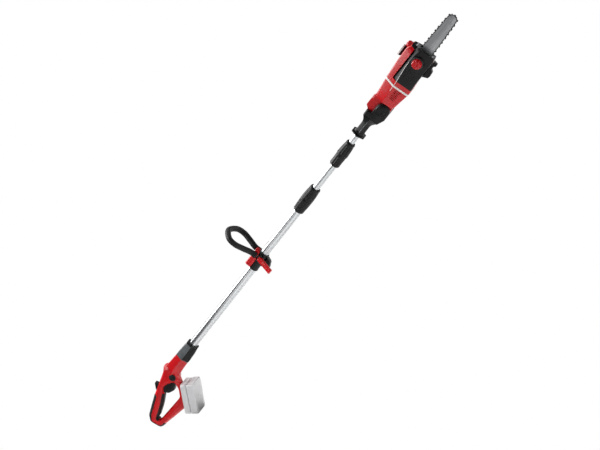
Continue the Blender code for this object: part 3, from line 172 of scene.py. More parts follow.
LOOK = {
    # ABS, injection moulded and polished: a wet gloss over a very slight ripple
    "red": finish("polished_red_abs", ("D0121B", "BE0C15"), (0.24, 0.32), 40, 2.2, 0.004,
                  Coat_Weight=0.12, Coat_Roughness=0.12, IOR=1.5, Specular_IOR_Level=0.4),
    # Nylon with glass fibre, moulded against a spark-eroded tool: a fine even grain
    "black": finish("grained_black_nylon", ("0B0B0C", "131416"), (0.34, 0.46), 25, 1.1, 0.03,
                    IOR=1.53, Specular_IOR_Level=0.24),
    # Thermoplastic elastomer, moulded with small dimples: matt and slightly grey
    "rubber": finish("dimpled_black_elastomer", ("0F0F10", "171718"), (0.42, 0.56), 20, 1.8, 0.1,
                     cells=True, IOR=1.5, Specular_IOR_Level=0.3),
    "grey": finish("grained_grey_nylon", ("4A4D50", "54585B"), (0.38, 0.5), 25, 1.1, 0.04, IOR=1.53),
    # ABS, moulded in its own colour: soft gloss
    "pale": finish("off_white_abs", ("EFEEEC", "E6E4E1"), (0.3, 0.4), 30, 1.6, 0.006, IOR=1.53),
    # Aluminium tube, drawn and clear anodised: die lines run along it
    "tube": finish("drawn_anodised_aluminium", ("D4D6D8", "BFC2C5"), (0.2, 0.34), 3.0, 0.8, 0.012,
                   metal=1.0, stretch=(0.012, 1, 1)),
    # Carbon steel, surface ground along its length: short bright scratches
    "bar": finish("ground_bar_steel", ("ACAEB0", "97999C"), (0.4, 0.55), 5, 0.7, 0.012,
                  metal=0.75, stretch=(0.06, 1, 1)),
    # Chain steel, hardened and oiled: nearly black with worn bright patches
    "chain": finish("oiled_chain_steel", ("121213", "303032"), (0.3, 0.5), 4, 0.9, 0.02, metal=0.7),
    # Zinc-plated steel: cloudy crystals, medium gloss
    "zinc": finish("zinc_plated_steel", ("B9BBBE", "9EA1A5"), (0.28, 0.42), 4, 0.8, 0.01, metal=1.0),
    # Copper windings seen through varnish, and the laminated steel of the motor
    "motor": finish("varnished_motor_steel", ("6E6660", "8A8078"), (0.35, 0.5), 6, 0.6, 0.02, metal=1.0),
    # Polycarbonate, tinted and moulded: clear grey with a soft gloss
    "smoke": finish("clear_grey_polycarbonate", ("E6E6E8", "DDDDE0"), (0.25, 0.35), 30, 1.8, 0.003,
                    IOR=1.58, Alpha=0.86),
    # Gearcase magnesium, die cast: dull, slightly mottled
    "cast": finish("die_cast_magnesium", ("7B7D80", "6A6C6F"), (0.5, 0.65), 8, 1.0, 0.05, metal=1.0),
    # Cartridge brass, turned
    "brass": finish("turned_brass", ("C2A35E", "A98B49"), (0.3, 0.45), 5, 0.7, 0.01, metal=1.0),
}


# Shapes. Each one is made in place, in millimetres, and turned to metres at the end.


def linked(name, data):
    """A new object in the scene."""
    made = bpy.data.objects.new(name, data)
    bpy.context.scene.collection.objects.link(made)
    return made


def mesh_piece(name, look, points, faces, sharp=32):
    """A closed mesh with merged doubles, its faces outwards and its edges sharp past an angle."""
    mesh = bpy.data.meshes.new(name)
    mesh.from_pydata((np.asarray(points, float).reshape(-1, 3) * MM).tolist(), [], faces)
    work = bmesh.new()
    work.from_mesh(mesh)
    bmesh.ops.remove_doubles(work, verts=work.verts, dist=2e-6)
    bmesh.ops.dissolve_degenerate(work, edges=work.edges, dist=1e-6)
    bmesh.ops.recalc_face_normals(work, faces=work.faces)
    if work.calc_volume(signed=True) < 0:
        bmesh.ops.reverse_faces(work, faces=work.faces)
    work.to_mesh(mesh)
    work.free()
    mesh.shade_smooth()
    mesh.set_sharp_from_angle(angle=math.radians(sharp))
    piece = linked(name, mesh)
    mesh.materials.append(LOOK[look])
    piece["look"] = look
    return piece


def quads(rows, count, round_again):
    """Faces between neighbouring rows of count points, each row closed on itself."""
    i, j = np.meshgrid(np.arange(rows if round_again else rows - 1), np.arange(count), indexing="ij")
    k, n = (j + 1) % count, (i + 1) % rows
    corners = (i * count + j, i * count + k, n * count + k, n * count + j)
    return np.stack(corners, -1).reshape(-1, 4)


def skin(name, look, rows, round_again=False, sharp=32):
    """A surface through rows of points, each row a closed ring. It is closed by a face at each end,
    or by joining the last row to the first."""
    rows = np.asarray(rows, float)
    m, n = rows.shape[:2]
    faces = quads(m, n, round_again).tolist()
    if not round_again:
        faces += [list(range(n)), list(range((m - 1) * n, m * n))]
    return mesh_piece(name, look, rows, faces, sharp)


def many(name, look, rows, sharp=32):
    """Many closed skins in one mesh: rows is (pieces, rows, points, 3)."""
    rows = np.asarray(rows, float)
    k, m, n = rows.shape[:3]
    one = quads(m, n, False)
    start = (np.arange(k) * m * n)[:, None]
    sides = (one[None] + start[..., None]).reshape(-1, 4).tolist()
    first, last = np.arange(n)[None] + start, np.arange((m - 1) * n, m * n)[None] + start
    return mesh_piece(name, look, rows, sides + first.tolist() + last.tolist(), sharp)


def rounded(corners, steps=5):
    """Corners (a, b, radius) as a closed outline in which each corner is an arc that touches both
    of its sides. Works on whole arrays of outlines."""
    table = np.asarray(corners, float)
    place, radius = table[..., :2], table[..., 2]
    back = np.roll(place, 1, -2) - place
    ahead = np.roll(place, -1, -2) - place
    room = 0.48 * np.minimum(np.linalg.norm(back, axis=-1), np.linalg.norm(ahead, axis=-1))
    back = back / np.linalg.norm(back, axis=-1, keepdims=True)
    ahead = ahead / np.linalg.norm(ahead, axis=-1, keepdims=True)
    half = np.arccos(np.clip((back * ahead).sum(-1), -0.9999, 0.9999)) / 2
    radius = np.minimum(np.maximum(radius, 0.02), room * np.tan(half))
    middle = back + ahead
    bend = np.linalg.norm(middle, axis=-1, keepdims=True)
    middle = middle / np.maximum(bend, 1e-9)
    radius = np.where(bend[..., 0] < 1e-3, 0.0, radius)      # no corner on a straight run
    centre = place + middle * (radius / np.sin(half))[..., None]
    reach = (radius / np.tan(half))[..., None]
    start, end = place + back * reach - centre, place + ahead * reach - centre
    first = np.arctan2(start[..., 1], start[..., 0])
    sweep = (np.arctan2(end[..., 1], end[..., 0]) - first + math.pi) % math.tau - math.pi
    angle = first[..., None] + sweep[..., None] * np.linspace(0, 1, steps + 1)
    arcs = np.stack([np.cos(angle), np.sin(angle)], -1) * radius[..., None, None]
    arcs = arcs + centre[..., None, :]
    return arcs.reshape(*table.shape[:-2], -1, 2)


def spaced(points, count, closed=True):
    """A polyline sampled at equal steps of its own length."""
    points = np.asarray(points, float)
    if closed:
        points = np.vstack([points, points[:1]])
    length = np.concatenate([[0], np.cumsum(np.linalg.norm(np.diff(points, axis=0), axis=1))])
    at = np.linspace(0, length[-1], count, endpoint=not closed)
    return np.stack([np.interp(at, length, points[:, i]) for i in range(2)], -1)


def flow(x, table, spread):
    """A table's columns at x: straight between its rows, then averaged over x - spread to x + spread."""
    table = np.asarray(table, float)
    near = x[:, None] + np.linspace(-spread, spread, 9)
    return [np.interp(near, table[:, 0], column).mean(1) for column in table.T[1:]]


def turned(name, look, axis, at, profile, sides=64, wave=None, sharp=32):
    """Corners (distance along the axis, radius, fillet) turned about an axis through at. The radius
    is multiplied by wave(angle, distance, radius). The profile is a ring, or starts and ends on the
    axis."""
    outline = rounded([(*p, 0)[:3] for p in profile], 4)
    along, radius = outline.T
    angle = np.linspace(0, math.tau, sides, endpoint=False)
    a, turn = np.meshgrid(along, angle, indexing="ij")
    radius = np.repeat(radius[:, None], sides, 1)
    r = radius * (wave(turn, a, radius) if wave else 1.0)
    c, s = r * np.cos(turn), r * np.sin(turn)
    rows = {"X": (a, c, s), "Y": (s, a, c), "Z": (c, s, a)}[axis]
    rows = np.stack(rows, -1) + np.array(at, float)
    return skin(name, look, rows, True, sharp)


def lay(plane, flat, height):
    """Flat points (a, b) put into a plane at a height."""
    a, b = flat[..., 0], flat[..., 1]
    height = np.broadcast_to(height, a.shape)
    return np.stack({"XZ": (a, height, b), "YZ": (height, a, b), "XY": (a, b, height)}[plane], -1)


def slab(name, look, plane, outline, low, high, edge=1.0, steps=3, at=(0, 0, 0), sharp=32):
    """An outline made thick. Near each face it is drawn in along its own normal by
    edge * (1 - sin t) at the depth edge * (1 - cos t), a quarter round."""
    outline = np.asarray(outline, float)
    tangent = np.roll(outline, -1, 0) - np.roll(outline, 1, 0)
    normal = np.stack([tangent[:, 1], -tangent[:, 0]], -1)
    normal /= np.linalg.norm(normal, axis=1, keepdims=True) + 1e-9
    ahead = np.roll(outline, -1, 0)
    if (outline[:, 0] * ahead[:, 1] - ahead[:, 0] * outline[:, 1]).sum() < 0:
        normal = -normal
    t = np.linspace(0, math.pi / 2, steps + 1)
    inset = np.concatenate([edge * (1 - np.sin(t)), edge * (1 - np.sin(t))[::-1]])
    depth = edge * (1 - np.cos(t))
    height = np.concatenate([low + depth, (high - depth)[::-1]])
    flat = outline[None] - normal[None] * inset[:, None, None]
    return skin(name, look, lay(plane, flat, height[:, None]) + np.array(at, float), sharp=sharp)


def carve(piece, *cutters):
    """The piece with the cutters taken away, as a plain mesh again."""
    for cutter in cutters:
        modifier = piece.modifiers.new("carve", "BOOLEAN")
        modifier.operation, modifier.object, modifier.solver = "DIFFERENCE", cutter, "EXACT"
    bpy.context.view_layer.update()
    graph = bpy.context.evaluated_depsgraph_get()
    mesh = bpy.data.meshes.new_from_object(piece.evaluated_get(graph))
    piece.modifiers.clear()
    piece.data = mesh
    while len(mesh.materials) > 1:
        mesh.materials.pop()
    mesh.shade_smooth()
    mesh.set_sharp_from_angle(angle=math.radians(32))
    for cutter in cutters:
        bpy.data.objects.remove(cutter)
    return piece


def beside(piece, node):
    """The piece rides on the body of a node."""
    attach(piece, body_of(frame["nodes"][node])[0])
    return piece


def stand(piece, node):
    """The piece rides on the body of a node and stands for it."""
    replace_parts(beside(piece, node), node)


def moved(piece, change):
    """Passes the mesh's points, in metres, through change."""
    points = np.empty(len(piece.data.vertices) * 3)
    piece.data.vertices.foreach_get("co", points)
    piece.data.vertices.foreach_set("co", change(points.reshape(-1, 3)).ravel())
    return piece


def from_pivot(piece):
    """Moves a mesh made about the tilt axis to its place."""
    return moved(piece, lambda points: points + np.array(PIVOT) * MM)


def sections(corners, steps=5):
    """Outlines along X from corners (y, z, fillet) whose values are numbers or arrays along X."""
    return rounded(np.stack([np.stack(np.broadcast_arrays(*c), -1) for c in corners], 1), steps)


def strip(name, look, x, y, z):
    """A bar along X from the y and z of its section's corners at each place."""
    return skin(name, look, np.stack(np.broadcast_arrays(x[:, None], y, z), -1))


def sided(profile, side):
    """A profile along Y turned to one side."""
    return [(side * a, r, f) for a, r, f in profile]


def ribs(count, depth, sharpness=3):
    """A wave of count ribs round a turned piece: 1 + depth * cos(count * angle), squared off."""
    return lambda turn, a, r: 1 + depth * np.tanh(sharpness * np.cos(count * turn))


# Rear handle

# Matched places on the grip's outside and on its opening, going round
GRIP = np.array([
    [(-50, 22), (-96, -30)], [(-66, 33), (-101, -25)], [(-88, 21), (-112, -18)],
    [(-126, 11), (-131, -11.5)], [(-164, 1.5), (-153, -28)], [(-210, -15), (-190, -44.5)],
    [(-252, -30), (-229, -57)], [(-269, -47), (-242, -58)], [(-262, -87), (-241, -70)],
    [(-200, -99.5), (-190, -72.3)], [(-138, -110), (-126, -75)], [(-82, -56), (-103, -55)],
    [(-60, -25), (-96, -36)], [(-48, -18), (-95, -32)],
], float)
# One side of the section across the grip: share of the way from the middle to an edge, share of
# the half width. The grip's half width is SLIM_HALF where a hand holds it.
BEVELLED = [(1, 0.42), (0.58, 1), (-0.6, 1), (-1, 0.42)]
SLIM_HALF = 15.0


def grip_lines(at):
    """Outer and inner points of the grip at stations, straight between the matched places and
    rounded by averaging over a fifth of a station."""
    count = len(GRIP)
    near = at[:, None] + np.linspace(-0.2, 0.2, 9)
    index = np.floor(near).astype(int)
    share = (near - index)[..., None, None]
    lines = GRIP[index % count] * (1 - share) + GRIP[(index + 1) % count] * share
    return lines.mean(1)


# Half width of the grip at its stations: wider where it runs into the neck
GRIP_HALF = [
    (-1, 18), (0, 20.5), (1, 19.5), (2.2, 17), (3.6, SLIM_HALF), (11.6, SLIM_HALF), (13, 18), (14, 20.5),
    (15, 19.5),
]


def grip_piece(name, look, section, first=0.0, last=None, soft=0.1, rows=180):
    """The section carried round the grip: middle + s * half the way across, and s2 * half width in Y.
    Round the whole grip, or from one station to another."""
    whole = last is None
    last = len(GRIP) if whole else last
    at = np.linspace(first, last, rows, endpoint=not whole)
    lines = grip_lines(at)
    outline = rounded([(*corner, soft) for corner in section], 5)
    middle, reach = lines.mean(1), (lines[:, 0] - lines[:, 1]) / 2
    flat = middle[:, None] + reach[:, None] * outline[None, :, :1]
    half = flow(at, GRIP_HALF, 0.3)[0]
    y = outline[None, :, 1] * half[:, None]
    points = np.stack([flat[..., 0] + HANDLE_X, y, flat[..., 1]], -1)
    return skin(name, look, points, whole, 28)


# Neck of the handle: x, half width, top, bottom, height of the side ridge
HANDLE_NECK = [
    (-100, 13.0, 12, -22, -8), (-86, 18.0, 22, -30, -7), (-72, 22.5, 25.5, -29, -5),
    (-44, 23.0, 25.0, -25.0, 0), (-10, 22.0, 23.6, -23.6, 0), (0, 22.0, 23.5, -23.5, 0),
]


def half_section(side, half_width, top, bottom, ridge, soft=3.0):
    """One half of a six-sided section, from the middle plane out, with rounded edges."""
    corners = [
        (SEAM, top, 0.3), (half_width / 2, top, soft), (half_width, ridge, soft * 0.8),
        (half_width / 2, bottom, soft), (SEAM, bottom, 0.3),
    ]
    return sections([(side * y, z, r) for y, z, r in corners])


for side, tag in SIDES:
    cut_plane = SEAM / SLIM_HALF * side
    half = [(1, cut_plane), *((s, y * side) for s, y in BEVELLED), (-1, cut_plane)]
    stand(grip_piece(f"handle_grip_{tag}", "red", half), f"handle_shell_{tag}")
    x = np.linspace(-100, -0.2, 60)
    rows = lay("YZ", half_section(side, *flow(x, HANDLE_NECK, 5)), x[:, None] + HANDLE_X)
    beside(skin(f"handle_neck_{tag}", "red", rows), f"handle_shell_{tag}")

# Sections of the two soft pads, which stand a little proud of the shell
PROUD_BACK = [(1.07, -0.5), (1.07, 0.5), (0.66, 1.06), (0.46, 1.06), (0.46, -1.06), (0.66, -1.06)]
PROUD_INNER = [(-1.14, -0.5), (-1.14, 0.5), (-0.74, 1.06), (-0.58, 1.06), (-0.58, -1.06), (-0.74, -1.06)]
stand(grip_piece("back_pad", "rubber", PROUD_BACK, 4.25, 8.35, rows=90), "grip_back_pad")
stand(grip_piece("inner_pad", "rubber", PROUD_INNER, 3.9, 7.6, rows=90), "grip_inner_pad")

# Pressed panel lines on both sides of the lower leg
RIB = [(0.16, 0.9), (0.16, 1.05), (0.08, 1.09), (0.0, 1.05), (0.0, 0.9)]
for side, tag in SIDES:
    line = [(s, y * side) for s, y in RIB]
    rib = grip_piece(f"leg_rib_{tag}", "red", line, 8.6, 10.1, soft=0.02, rows=50)
    beside(rib, f"handle_shell_{tag}")

# Collar between the handle and the pole: grey above, ribbed black below, with a flared lip
COLLAR = [
    (0.4, 22.2, 23.6, -23.6, 0), (37, 20.8, 21.8, -21.8, 0), (60, 18.6, 18.4, -18.4, 0),
    (67, 18.4, 18, -18, 0),
]
COLLAR_PITCH = 4.6


def whole_section(half_width, top, bottom, ridge, share_top, share_bottom, soft):
    """A six-sided section with a ridge on each side and rounded edges."""
    upper, lower = half_width * share_top, half_width * share_bottom
    return sections([
        (half_width, ridge, soft * 0.8), (upper, top, soft), (-upper, top, soft),
        (-half_width, ridge, soft * 0.8), (-lower, bottom, soft), (lower, bottom, soft),
    ])


def collar_ring(name, look, x, grow, share):
    """The collar's section grown at places x, round a bore of the same number of points."""
    width, top, bottom, ridge = flow(x, COLLAR, 4)
    section = whole_section(width + grow, top + grow, bottom - grow, ridge, share, share, 3.0)
    first = np.arctan2(section[0, :, 1], section[0, :, 0])
    circle = np.stack([np.cos(first), np.sin(first)], -1) * (TUBE_R + 0.3)
    inside = lay("YZ", np.broadcast_to(circle, (2, *circle.shape)), x[[-1, 0], None] + HANDLE_X)
    rows = np.concatenate([lay("YZ", section, x[:, None] + HANDLE_X), inside])
    return skin(name, look, rows, True)


x = np.linspace(0.4, 66.6, 70)
lip = 1.6 * np.clip((x - 59) / 1.5, 0, 1) - np.clip((x - 65) / 1.5, 0, 1)
stand(collar_ring("handle_collar_body", "grey", x, lip, 0.52), "handle_collar")
x = np.linspace(3, 58, 220)
width, top, bottom, ridge = flow(x, COLLAR, 4)
grow = 0.5 + 0.8 * (0.5 + 0.5 * np.tanh(4 * np.sin(x * math.tau / COLLAR_PITCH)))
wide, seat = width + grow, ridge - 2
ribbed = sections([
    (wide, seat, 1), (wide * 0.53, bottom - grow, 3), (-wide * 0.53, bottom - grow, 3), (-wide, seat, 1),
    (3 - width, seat, 0.2), (-width / 2, bottom + 3, 1), (width / 2, bottom + 3, 1), (width - 3, seat, 0.2),
], 4)
beside(skin("collar_ribs", "black", lay("YZ", ribbed, x[:, None] + HANDLE_X)), "handle_collar")
x = np.linspace(59, 66.8, 14)
lip = 2.2 - 1.4 * np.abs((x - 63) / 4) ** 3
beside(collar_ring("collar_lip", "black", x, lip, 0.55), "handle_collar")

# Bolt covers on both sides of the neck, dished with a raised rim, and the red boss round each
BOLT_AT = (HANDLE_X - 76, 0, -14.6)
RIM = [
    (14, 0, 0), (14, 11.7, 0), (21.4, 11.7, 1.4), (22.6, 9.4, 0.8), (21.0, 8.0, 0.6), (20.6, 3, 0.4),
    (22, 0, 0),
]
BOSS = [
    (6, 0, 0), (6, 19, 0), (17, 18.5, 0), (20.6, 15, 2.5), (20.8, 12.2, 0.6), (18, 12.0, 0), (18, 0, 0),
]
for side, tag in SIDES:
    cover = turned(f"bolt_cover_{tag}", "black", "Y", BOLT_AT, sided(RIM, side))
    stand(cover, f"side_cap_{tag}")
    boss = turned(f"bolt_boss_{tag}", "red", "Y", BOLT_AT, sided(BOSS, side), 96)
    beside(boss, f"side_cap_{tag}")


def handle_plate(name, outline, half, edge, steps):
    """A black plate of the handle that reaches half to each side of the middle."""
    return slab(name, "black", "XZ", outline, -half, half, edge, steps, (HANDLE_X, 0, 0))


TRIGGER = [
    (-84, -23, 3), (-99, -23, 6), (-113, -25, 3), (-131, -20, 3), (-143, -31, 4), (-135, -38, 9),
    (-116, -45.5, 5), (-99, -38, 6), (-84, -32, 3),
]
stand(handle_plate("trigger_blade", rounded(TRIGGER, 7), 11.8, 3, 4), "trigger")
SKIRT = [(-97, -25, 2), (-104, -15, 3), (-131, -6, 4), (-147, -19, 4), (-145, -29, 3), (-118, -32, 4)]
beside(handle_plate("trigger_skirt", rounded(SKIRT, 5), 10.4, 1.5, 3), "trigger")
BUTTON = [(-133, 5, 1), (-138.5, 21, 1.5), (-143, 20.5, 3), (-159, 5, 1), (-157, -2, 1), (-135, 2, 1)]
stand(handle_plate("lock_off_slide", rounded(BUTTON, 6), 7.2, 1.2, 3), "lock_off_button")


# Battery: slabs made along the leg, then turned onto its slope

LEAN = math.radians(-45)
BATTERY_AT = np.array([HANDLE_X - 111.24, 0, -85.24])


def onto_leg(piece):
    """Turns a mesh about Y by the lean and carries it to the leg's outer face."""
    c, s = math.cos(LEAN), math.sin(LEAN)
    turn = np.array([[c, 0, s], [0, 1, 0], [-s, 0, c]])
    return moved(piece, lambda points: points @ turn.T + BATTERY_AT * MM)


def block(name, look, low, high, corner, edge):
    """A block whose upright corners are arcs and whose faces end in quarter rounds."""
    (x0, y0, z0), (x1, y1, z1) = low, high
    outline = rounded([(x0, y0, corner), (x1, y0, corner), (x1, y1, corner), (x0, y1, corner)], 8)
    return slab(name, look, "XY", outline, z0, z1, edge, 5)


cover = block("battery_cover", "smoke", (-53, -36, -21.8), (53, 36, -1.8), 9, 3)
stand(onto_leg(cover), "battery_case_top")
tray = block("battery_tray", "smoke", (-54, -37, -49.6), (54, 37, -22.2), 11, 6)
stand(onto_leg(tray), "battery_case_base")
for i, z in enumerate((-30.5, -36.0, -41.5)):
    ridge = block(f"battery_ridge_{i}", "smoke", (-54.6, -26, z - 1.1), (-20, 26, z + 1.1), 2, 0.6)
    beside(onto_leg(ridge), "battery_case_base")
step = block("battery_step", "smoke", (-6, -37.4, -49.9), (54.2, 37.4, -27), 8, 3)
beside(onto_leg(step), "battery_case_base")


# Pole


def pipe(name, start, end, bore, radius, soft):
    """A drawn tube on the pole's axis."""
    profile = [(start, bore, 0), (start, radius, soft), (end, radius, soft), (end, bore, 0)]
    return turned(name, "tube", "X", (0, 0, 0), profile, 96)


stand(pipe("outer_pole", -745, 112, TUBE_R - 1.6, TUBE_R, 0.5), "outer_tube")
stand(pipe("inner_pole_tube", -650, 271, INNER_R - 1.5, INNER_R, 0.4), "inner_tube")


def knurled(low, high, count, depth, bore):
    """Ribs between two places along a sleeve that fade out over its ends and leave its bore round."""
    def wave(turn, a, r):
        fade = np.clip((a - low) / 2, 0, 1) * np.clip((high - a) / 2, 0, 1) * (r > bore + 1)
        return 1 - depth * fade * (0.5 - 0.5 * np.tanh(5 * (np.cos(count * turn) + 0.35)))
    return wave


def sleeve(name, node, outside, bore, count, depth, low, high):
    """A moulded sleeve: corners (x, radius, fillet) outside, and a plain bore."""
    steps = np.linspace(low, high, 24)
    x, r = np.array(outside)[:, 0], np.array(outside)[:, 1]
    between = [(float(s), float(np.interp(s, x, r)), 0.0) for s in steps]
    before = [p for p in outside if p[0] < low]
    after = [p for p in outside if p[0] > high]
    profile = [(outside[0][0], bore, 0), *before, *between, *after, (outside[-1][0], bore, 0)]
    wave = knurled(low, high, count, depth, bore)
    stand(turned(name, "black", "X", (0, 0, 0), profile, 192, wave), node)


sleeve("lock_sleeve_rear", "lock_nut",
       [(30, 16.6, 0.8), (33, 18.6, 1), (36, 18.4, 1), (60, 19.9, 4), (80, 20.6, 2), (83.4, 20.8, 0.8)],
       TUBE_R + 0.4, 12, 0.07, 38, 79)
sleeve("lock_sleeve_front", "lock_body",
       [(84.2, 20.8, 0.8), (88, 20.7, 1), (110, 20.0, 4), (128, 18.2, 3), (133, 18.6, 1), (137, 17.0, 1)],
       INNER_R + 0.4, 12, 0.07, 89, 128)
sleeve("coupling_sleeve_rear", "coupling_body",
       [(247, 15.6, 0.8), (250, 17.6, 1), (270, 17.4, 3), (288, 18.2, 2), (293.6, 18.4, 0.6)],
       INNER_R + 0.3, 8, 0.08, 253, 288)
sleeve("coupling_sleeve_front", "coupling_nut",
       [(294.2, 19.6, 0.8), (299, 19.4, 1), (325, 17.8, 4), (342, 15.8, 3), (346, 16.4, 1), (350, 14.4, 1)],
       SPIGOT_R + 0.4, 8, 0.09, 300, 340)


# Front handle


def curve_through(knots, per):
    """A smooth curve through knots: cubic pieces whose slope at a knot is half the step between
    its neighbours."""
    knots = np.asarray(knots, float)
    padded = np.vstack([2 * knots[0] - knots[1], knots, 2 * knots[-1] - knots[-2]])
    t = np.linspace(0, 1, per, endpoint=False)[None, :, None]
    a, b, c, d = (padded[i : len(padded) - 3 + i][:, None] for i in range(4))
    square, cube = 2 * a - 5 * b + 4 * c - d, 3 * b - a - 3 * c + d
    path = 0.5 * (2 * b + (c - a) * t + square * t**2 + cube * t**3)
    return np.vstack([path.reshape(-1, 2), knots[-1:]])


def loop_grip():
    """A round section of radius r carried along the loop's path in a plane across the pole. r dips
    every few millimetres over the gripping part and rounds off at both feet."""
    side = [(21.5, 14.5), (22.0, 36.9), (35.7, 64.3), (47.0, 92.9), (39.5, 120.3)]
    path = curve_through([(-y, z) for y, z in side] + [(0, 138.6)] + side[::-1], 40)
    path = spaced(path, 420, False)
    ahead = np.gradient(path, axis=0)
    ahead /= np.linalg.norm(ahead, axis=1, keepdims=True)
    normal = np.stack([ahead[:, 1], -ahead[:, 0]], -1)
    length = np.concatenate([[0], np.cumsum(np.linalg.norm(np.diff(path, axis=0), axis=1))])
    end = np.minimum(length, length[-1] - length)
    gripped = np.clip((end - 60) / 8, 0, 1)
    radius = 9.75 - 0.3 * gripped * (0.5 + 0.5 * np.tanh(4 * np.cos(length * math.tau / 5.0)))
    radius *= np.sqrt(np.clip(1 - (1 - np.clip(end / 3, 0, 1)) ** 2, 0.3, 1))
    turn = np.linspace(0, math.tau, 40, endpoint=False)
    flat = path[:, None] + normal[:, None] * (radius[:, None] * np.cos(turn))[..., None]
    x = LOOP_X + radius[:, None] * np.sin(turn)
    return skin("loop_grip", "rubber", np.stack([x, flat[..., 0], flat[..., 1]], -1), sharp=60)


stand(loop_grip(), "loop_handle")

SLEEVE_R = TUBE_R + 2.1
lip = [(30, SLEEVE_R, 0.5), (33, SLEEVE_R + 1.2, 0.5), (37, SLEEVE_R, 0.8), (37, TUBE_R + 0.4, 0)]
stand(turned("clamp_tube", "black", "X", CLAMP_AT, sided(lip[::-1], -1) + lip, 96), "clamp_sleeve")
under = 1 - SLEEVE_R
WEB = [(-10, under, 0.5), (-5, -38, 4), (4, -42, 4), (24, -32, 5), (31, under, 0.5)]
beside(slab("clamp_web", "black", "XZ", rounded(WEB), -9, 9, 2.5, 4, CLAMP_AT), "clamp_sleeve")
for tag, z in (("upper", -25), ("lower", -33)):
    span = rounded([(-3, z, 1.5), (20, z, 1.5), (18, z - 3, 1.5), (-2, z - 3, 1.5)])
    beside(slab(f"web_rib_{tag}", "black", "XZ", span, -10.2, 10.2, 0.8, 2, CLAMP_AT), "clamp_sleeve")
PIN_Y, PIN_Z = -22.3, 2.0
ear = rounded([(PIN_Y - 4, -2, 3), (PIN_Y - 4, 6, 3), (-12, 8, 0.5), (-12, -4, 0.5)])
for tag, low in (("rear", 5.1), ("front", 25.9)):
    beside(slab(f"hinge_ear_{tag}", "black", "YZ", ear, low, low + 3, 0.6, 2, CLAMP_AT), "clamp_sleeve")

# Saddle: a block with rounded shoulders, wide behind the loop and slim between its feet
SADDLE_END = [
    (-16.2, 9, 1), (-16.2, 31, 7), (16.2, 31, 7), (16.2, 9, 1), (12.4, 10.8, 1), (0, 16.7, 9),
    (-12.4, 10.8, 1),
]
SADDLE_SLIM = [(-11.1, 12.5, 1), (-11.1, 31, 4), (11.1, 31, 4), (11.1, 12.5, 1), (0, 16.8, 9)]
saddle = slab("clamp_saddle_block", "red", "YZ", rounded(SADDLE_END, 6), -34, 6, 2, 4, CLAMP_AT)
stand(saddle, "clamp_saddle")
tongue = rounded(SADDLE_SLIM, 6)
beside(slab("saddle_tongue", "red", "YZ", tongue, 3, 30, 2, 4, CLAMP_AT), "clamp_saddle")
ridge = rounded([(-16.8, 14, 0.6), (-16.8, 29, 5), (-14, 29, 1), (-14, 14, 0.5)])
for i, x in enumerate((-29, -19, -9)):
    beside(slab(f"saddle_ridge_{i}", "red", "YZ", ridge, x, x + 3, 0.6, 2, CLAMP_AT), "clamp_saddle")


def hinge_lever():
    """A blade that hangs from its pin and leans out, with ribs across its outer face."""
    lean = math.radians(22)
    along = np.array([-math.sin(lean), -math.cos(lean)])
    across = np.array([-along[1], along[0]])

    def plate(name, corners, steps, half, edge, edge_steps):
        placed = [(*((PIN_Y, PIN_Z) + along * a + across * b), r) for a, b, r in corners]
        return slab(name, "red", "YZ", rounded(placed, steps), -half, half, edge, edge_steps, LOOP_AT)

    blade = [
        (-5, -5.0, 5), (-5, 4.2, 4), (6, 4.0, 3), (60, 3.2, 2), (61, -6.8, 3), (30, -6.2, 12), (4, -5.2, 4),
    ]
    stand(plate("lever_blade", blade, 6, 8.1, 1.8, 4), "clamp_lever")
    for i, a in enumerate(range(18, 58, 5)):
        rib = [(a, -6.9, 0.8), (a + 2, -6.9, 0.8), (a + 2, -4, 0.3), (a, -4, 0.3)]
        beside(plate(f"lever_rib_{i}", rib, 3, 6.6, 0.5, 2), "clamp_lever")


hinge_lever()


# Neck and fork

spigot = pipe("spigot_tube", FLANGE_X - 116, FLANGE_X + 38, SPIGOT_R - 1.5, SPIGOT_R, 0.4)
stand(spigot, "head_spigot")

# x, half width, top, bottom, ridge, width of the flats as a share
FORK = [
    (0, 17, 15, -15, 0, 0.5), (48, 16.5, 15, -15, 0, 0.5), (58, 19, 17, -17, 0, 0.55),
    (80, 31, 27, -28, 0, 0.8), (104, 34, 27, -34, -2, 0.9),
]
x = np.linspace(0.5, 103.5, 90)
width, top, bottom, ridge, share = flow(x, FORK, 5)
fork = whole_section(width, top, bottom, ridge, share, share, 4.0)
stand(skin("fork_body", "black", lay("YZ", fork, x[:, None] + FLANGE_X)), "neck_fork")
CHEEK = rounded([
    (84, 24, 1), (104, 25, 6), (108, 8, 4), (159, 8, 23.9), (159, -40, 23.9), (112, -40, 6), (84, -29, 1),
], 9)
CHEEK_IN, CHEEK_OUT = 22, 34
for side, tag in FACES:
    low, high = sorted((side * CHEEK_IN, side * CHEEK_OUT))
    beside(slab(f"fork_cheek_{tag}", "black", "XZ", CHEEK, low, high, 2.2, 4, FLANGE_AT), "neck_fork")
hexagon = rounded([(27.4 * math.cos(t), 27.4 * math.sin(t), 2) for t in np.arange(6) * math.tau / 6], 4)
beside(slab("fork_flange", "black", "YZ", hexagon, 0, 5, 1.2, 3, FLANGE_AT), "neck_fork")
root = [(5, 15, 0.5), (5, 20, 2), (12, 16.4, 4), (16, 15, 0.5)]
beside(turned("flange_root", "black", "X", FLANGE_AT, root, 96), "neck_fork")
# A bead along the side ridge of the neck on each face: its grey is a painted highlight on the black ridge
x = np.linspace(6, 66, 60)
width = flow(x, FORK, 5)[0][:, None]
bead = rounded([(0, -1.6, 0.5), (0, 1.6, 0.5), (1.0, 0.9, 0.5), (1.0, -0.9, 0.5)], 3)
for side, tag in FACES:
    y = side * (width - 1.0 + bead[:, 0])
    beside(strip(f"neck_ridge_highlight_{tag}", "grey", x + FLANGE_X, y, bead[:, 1]), "neck_fork")


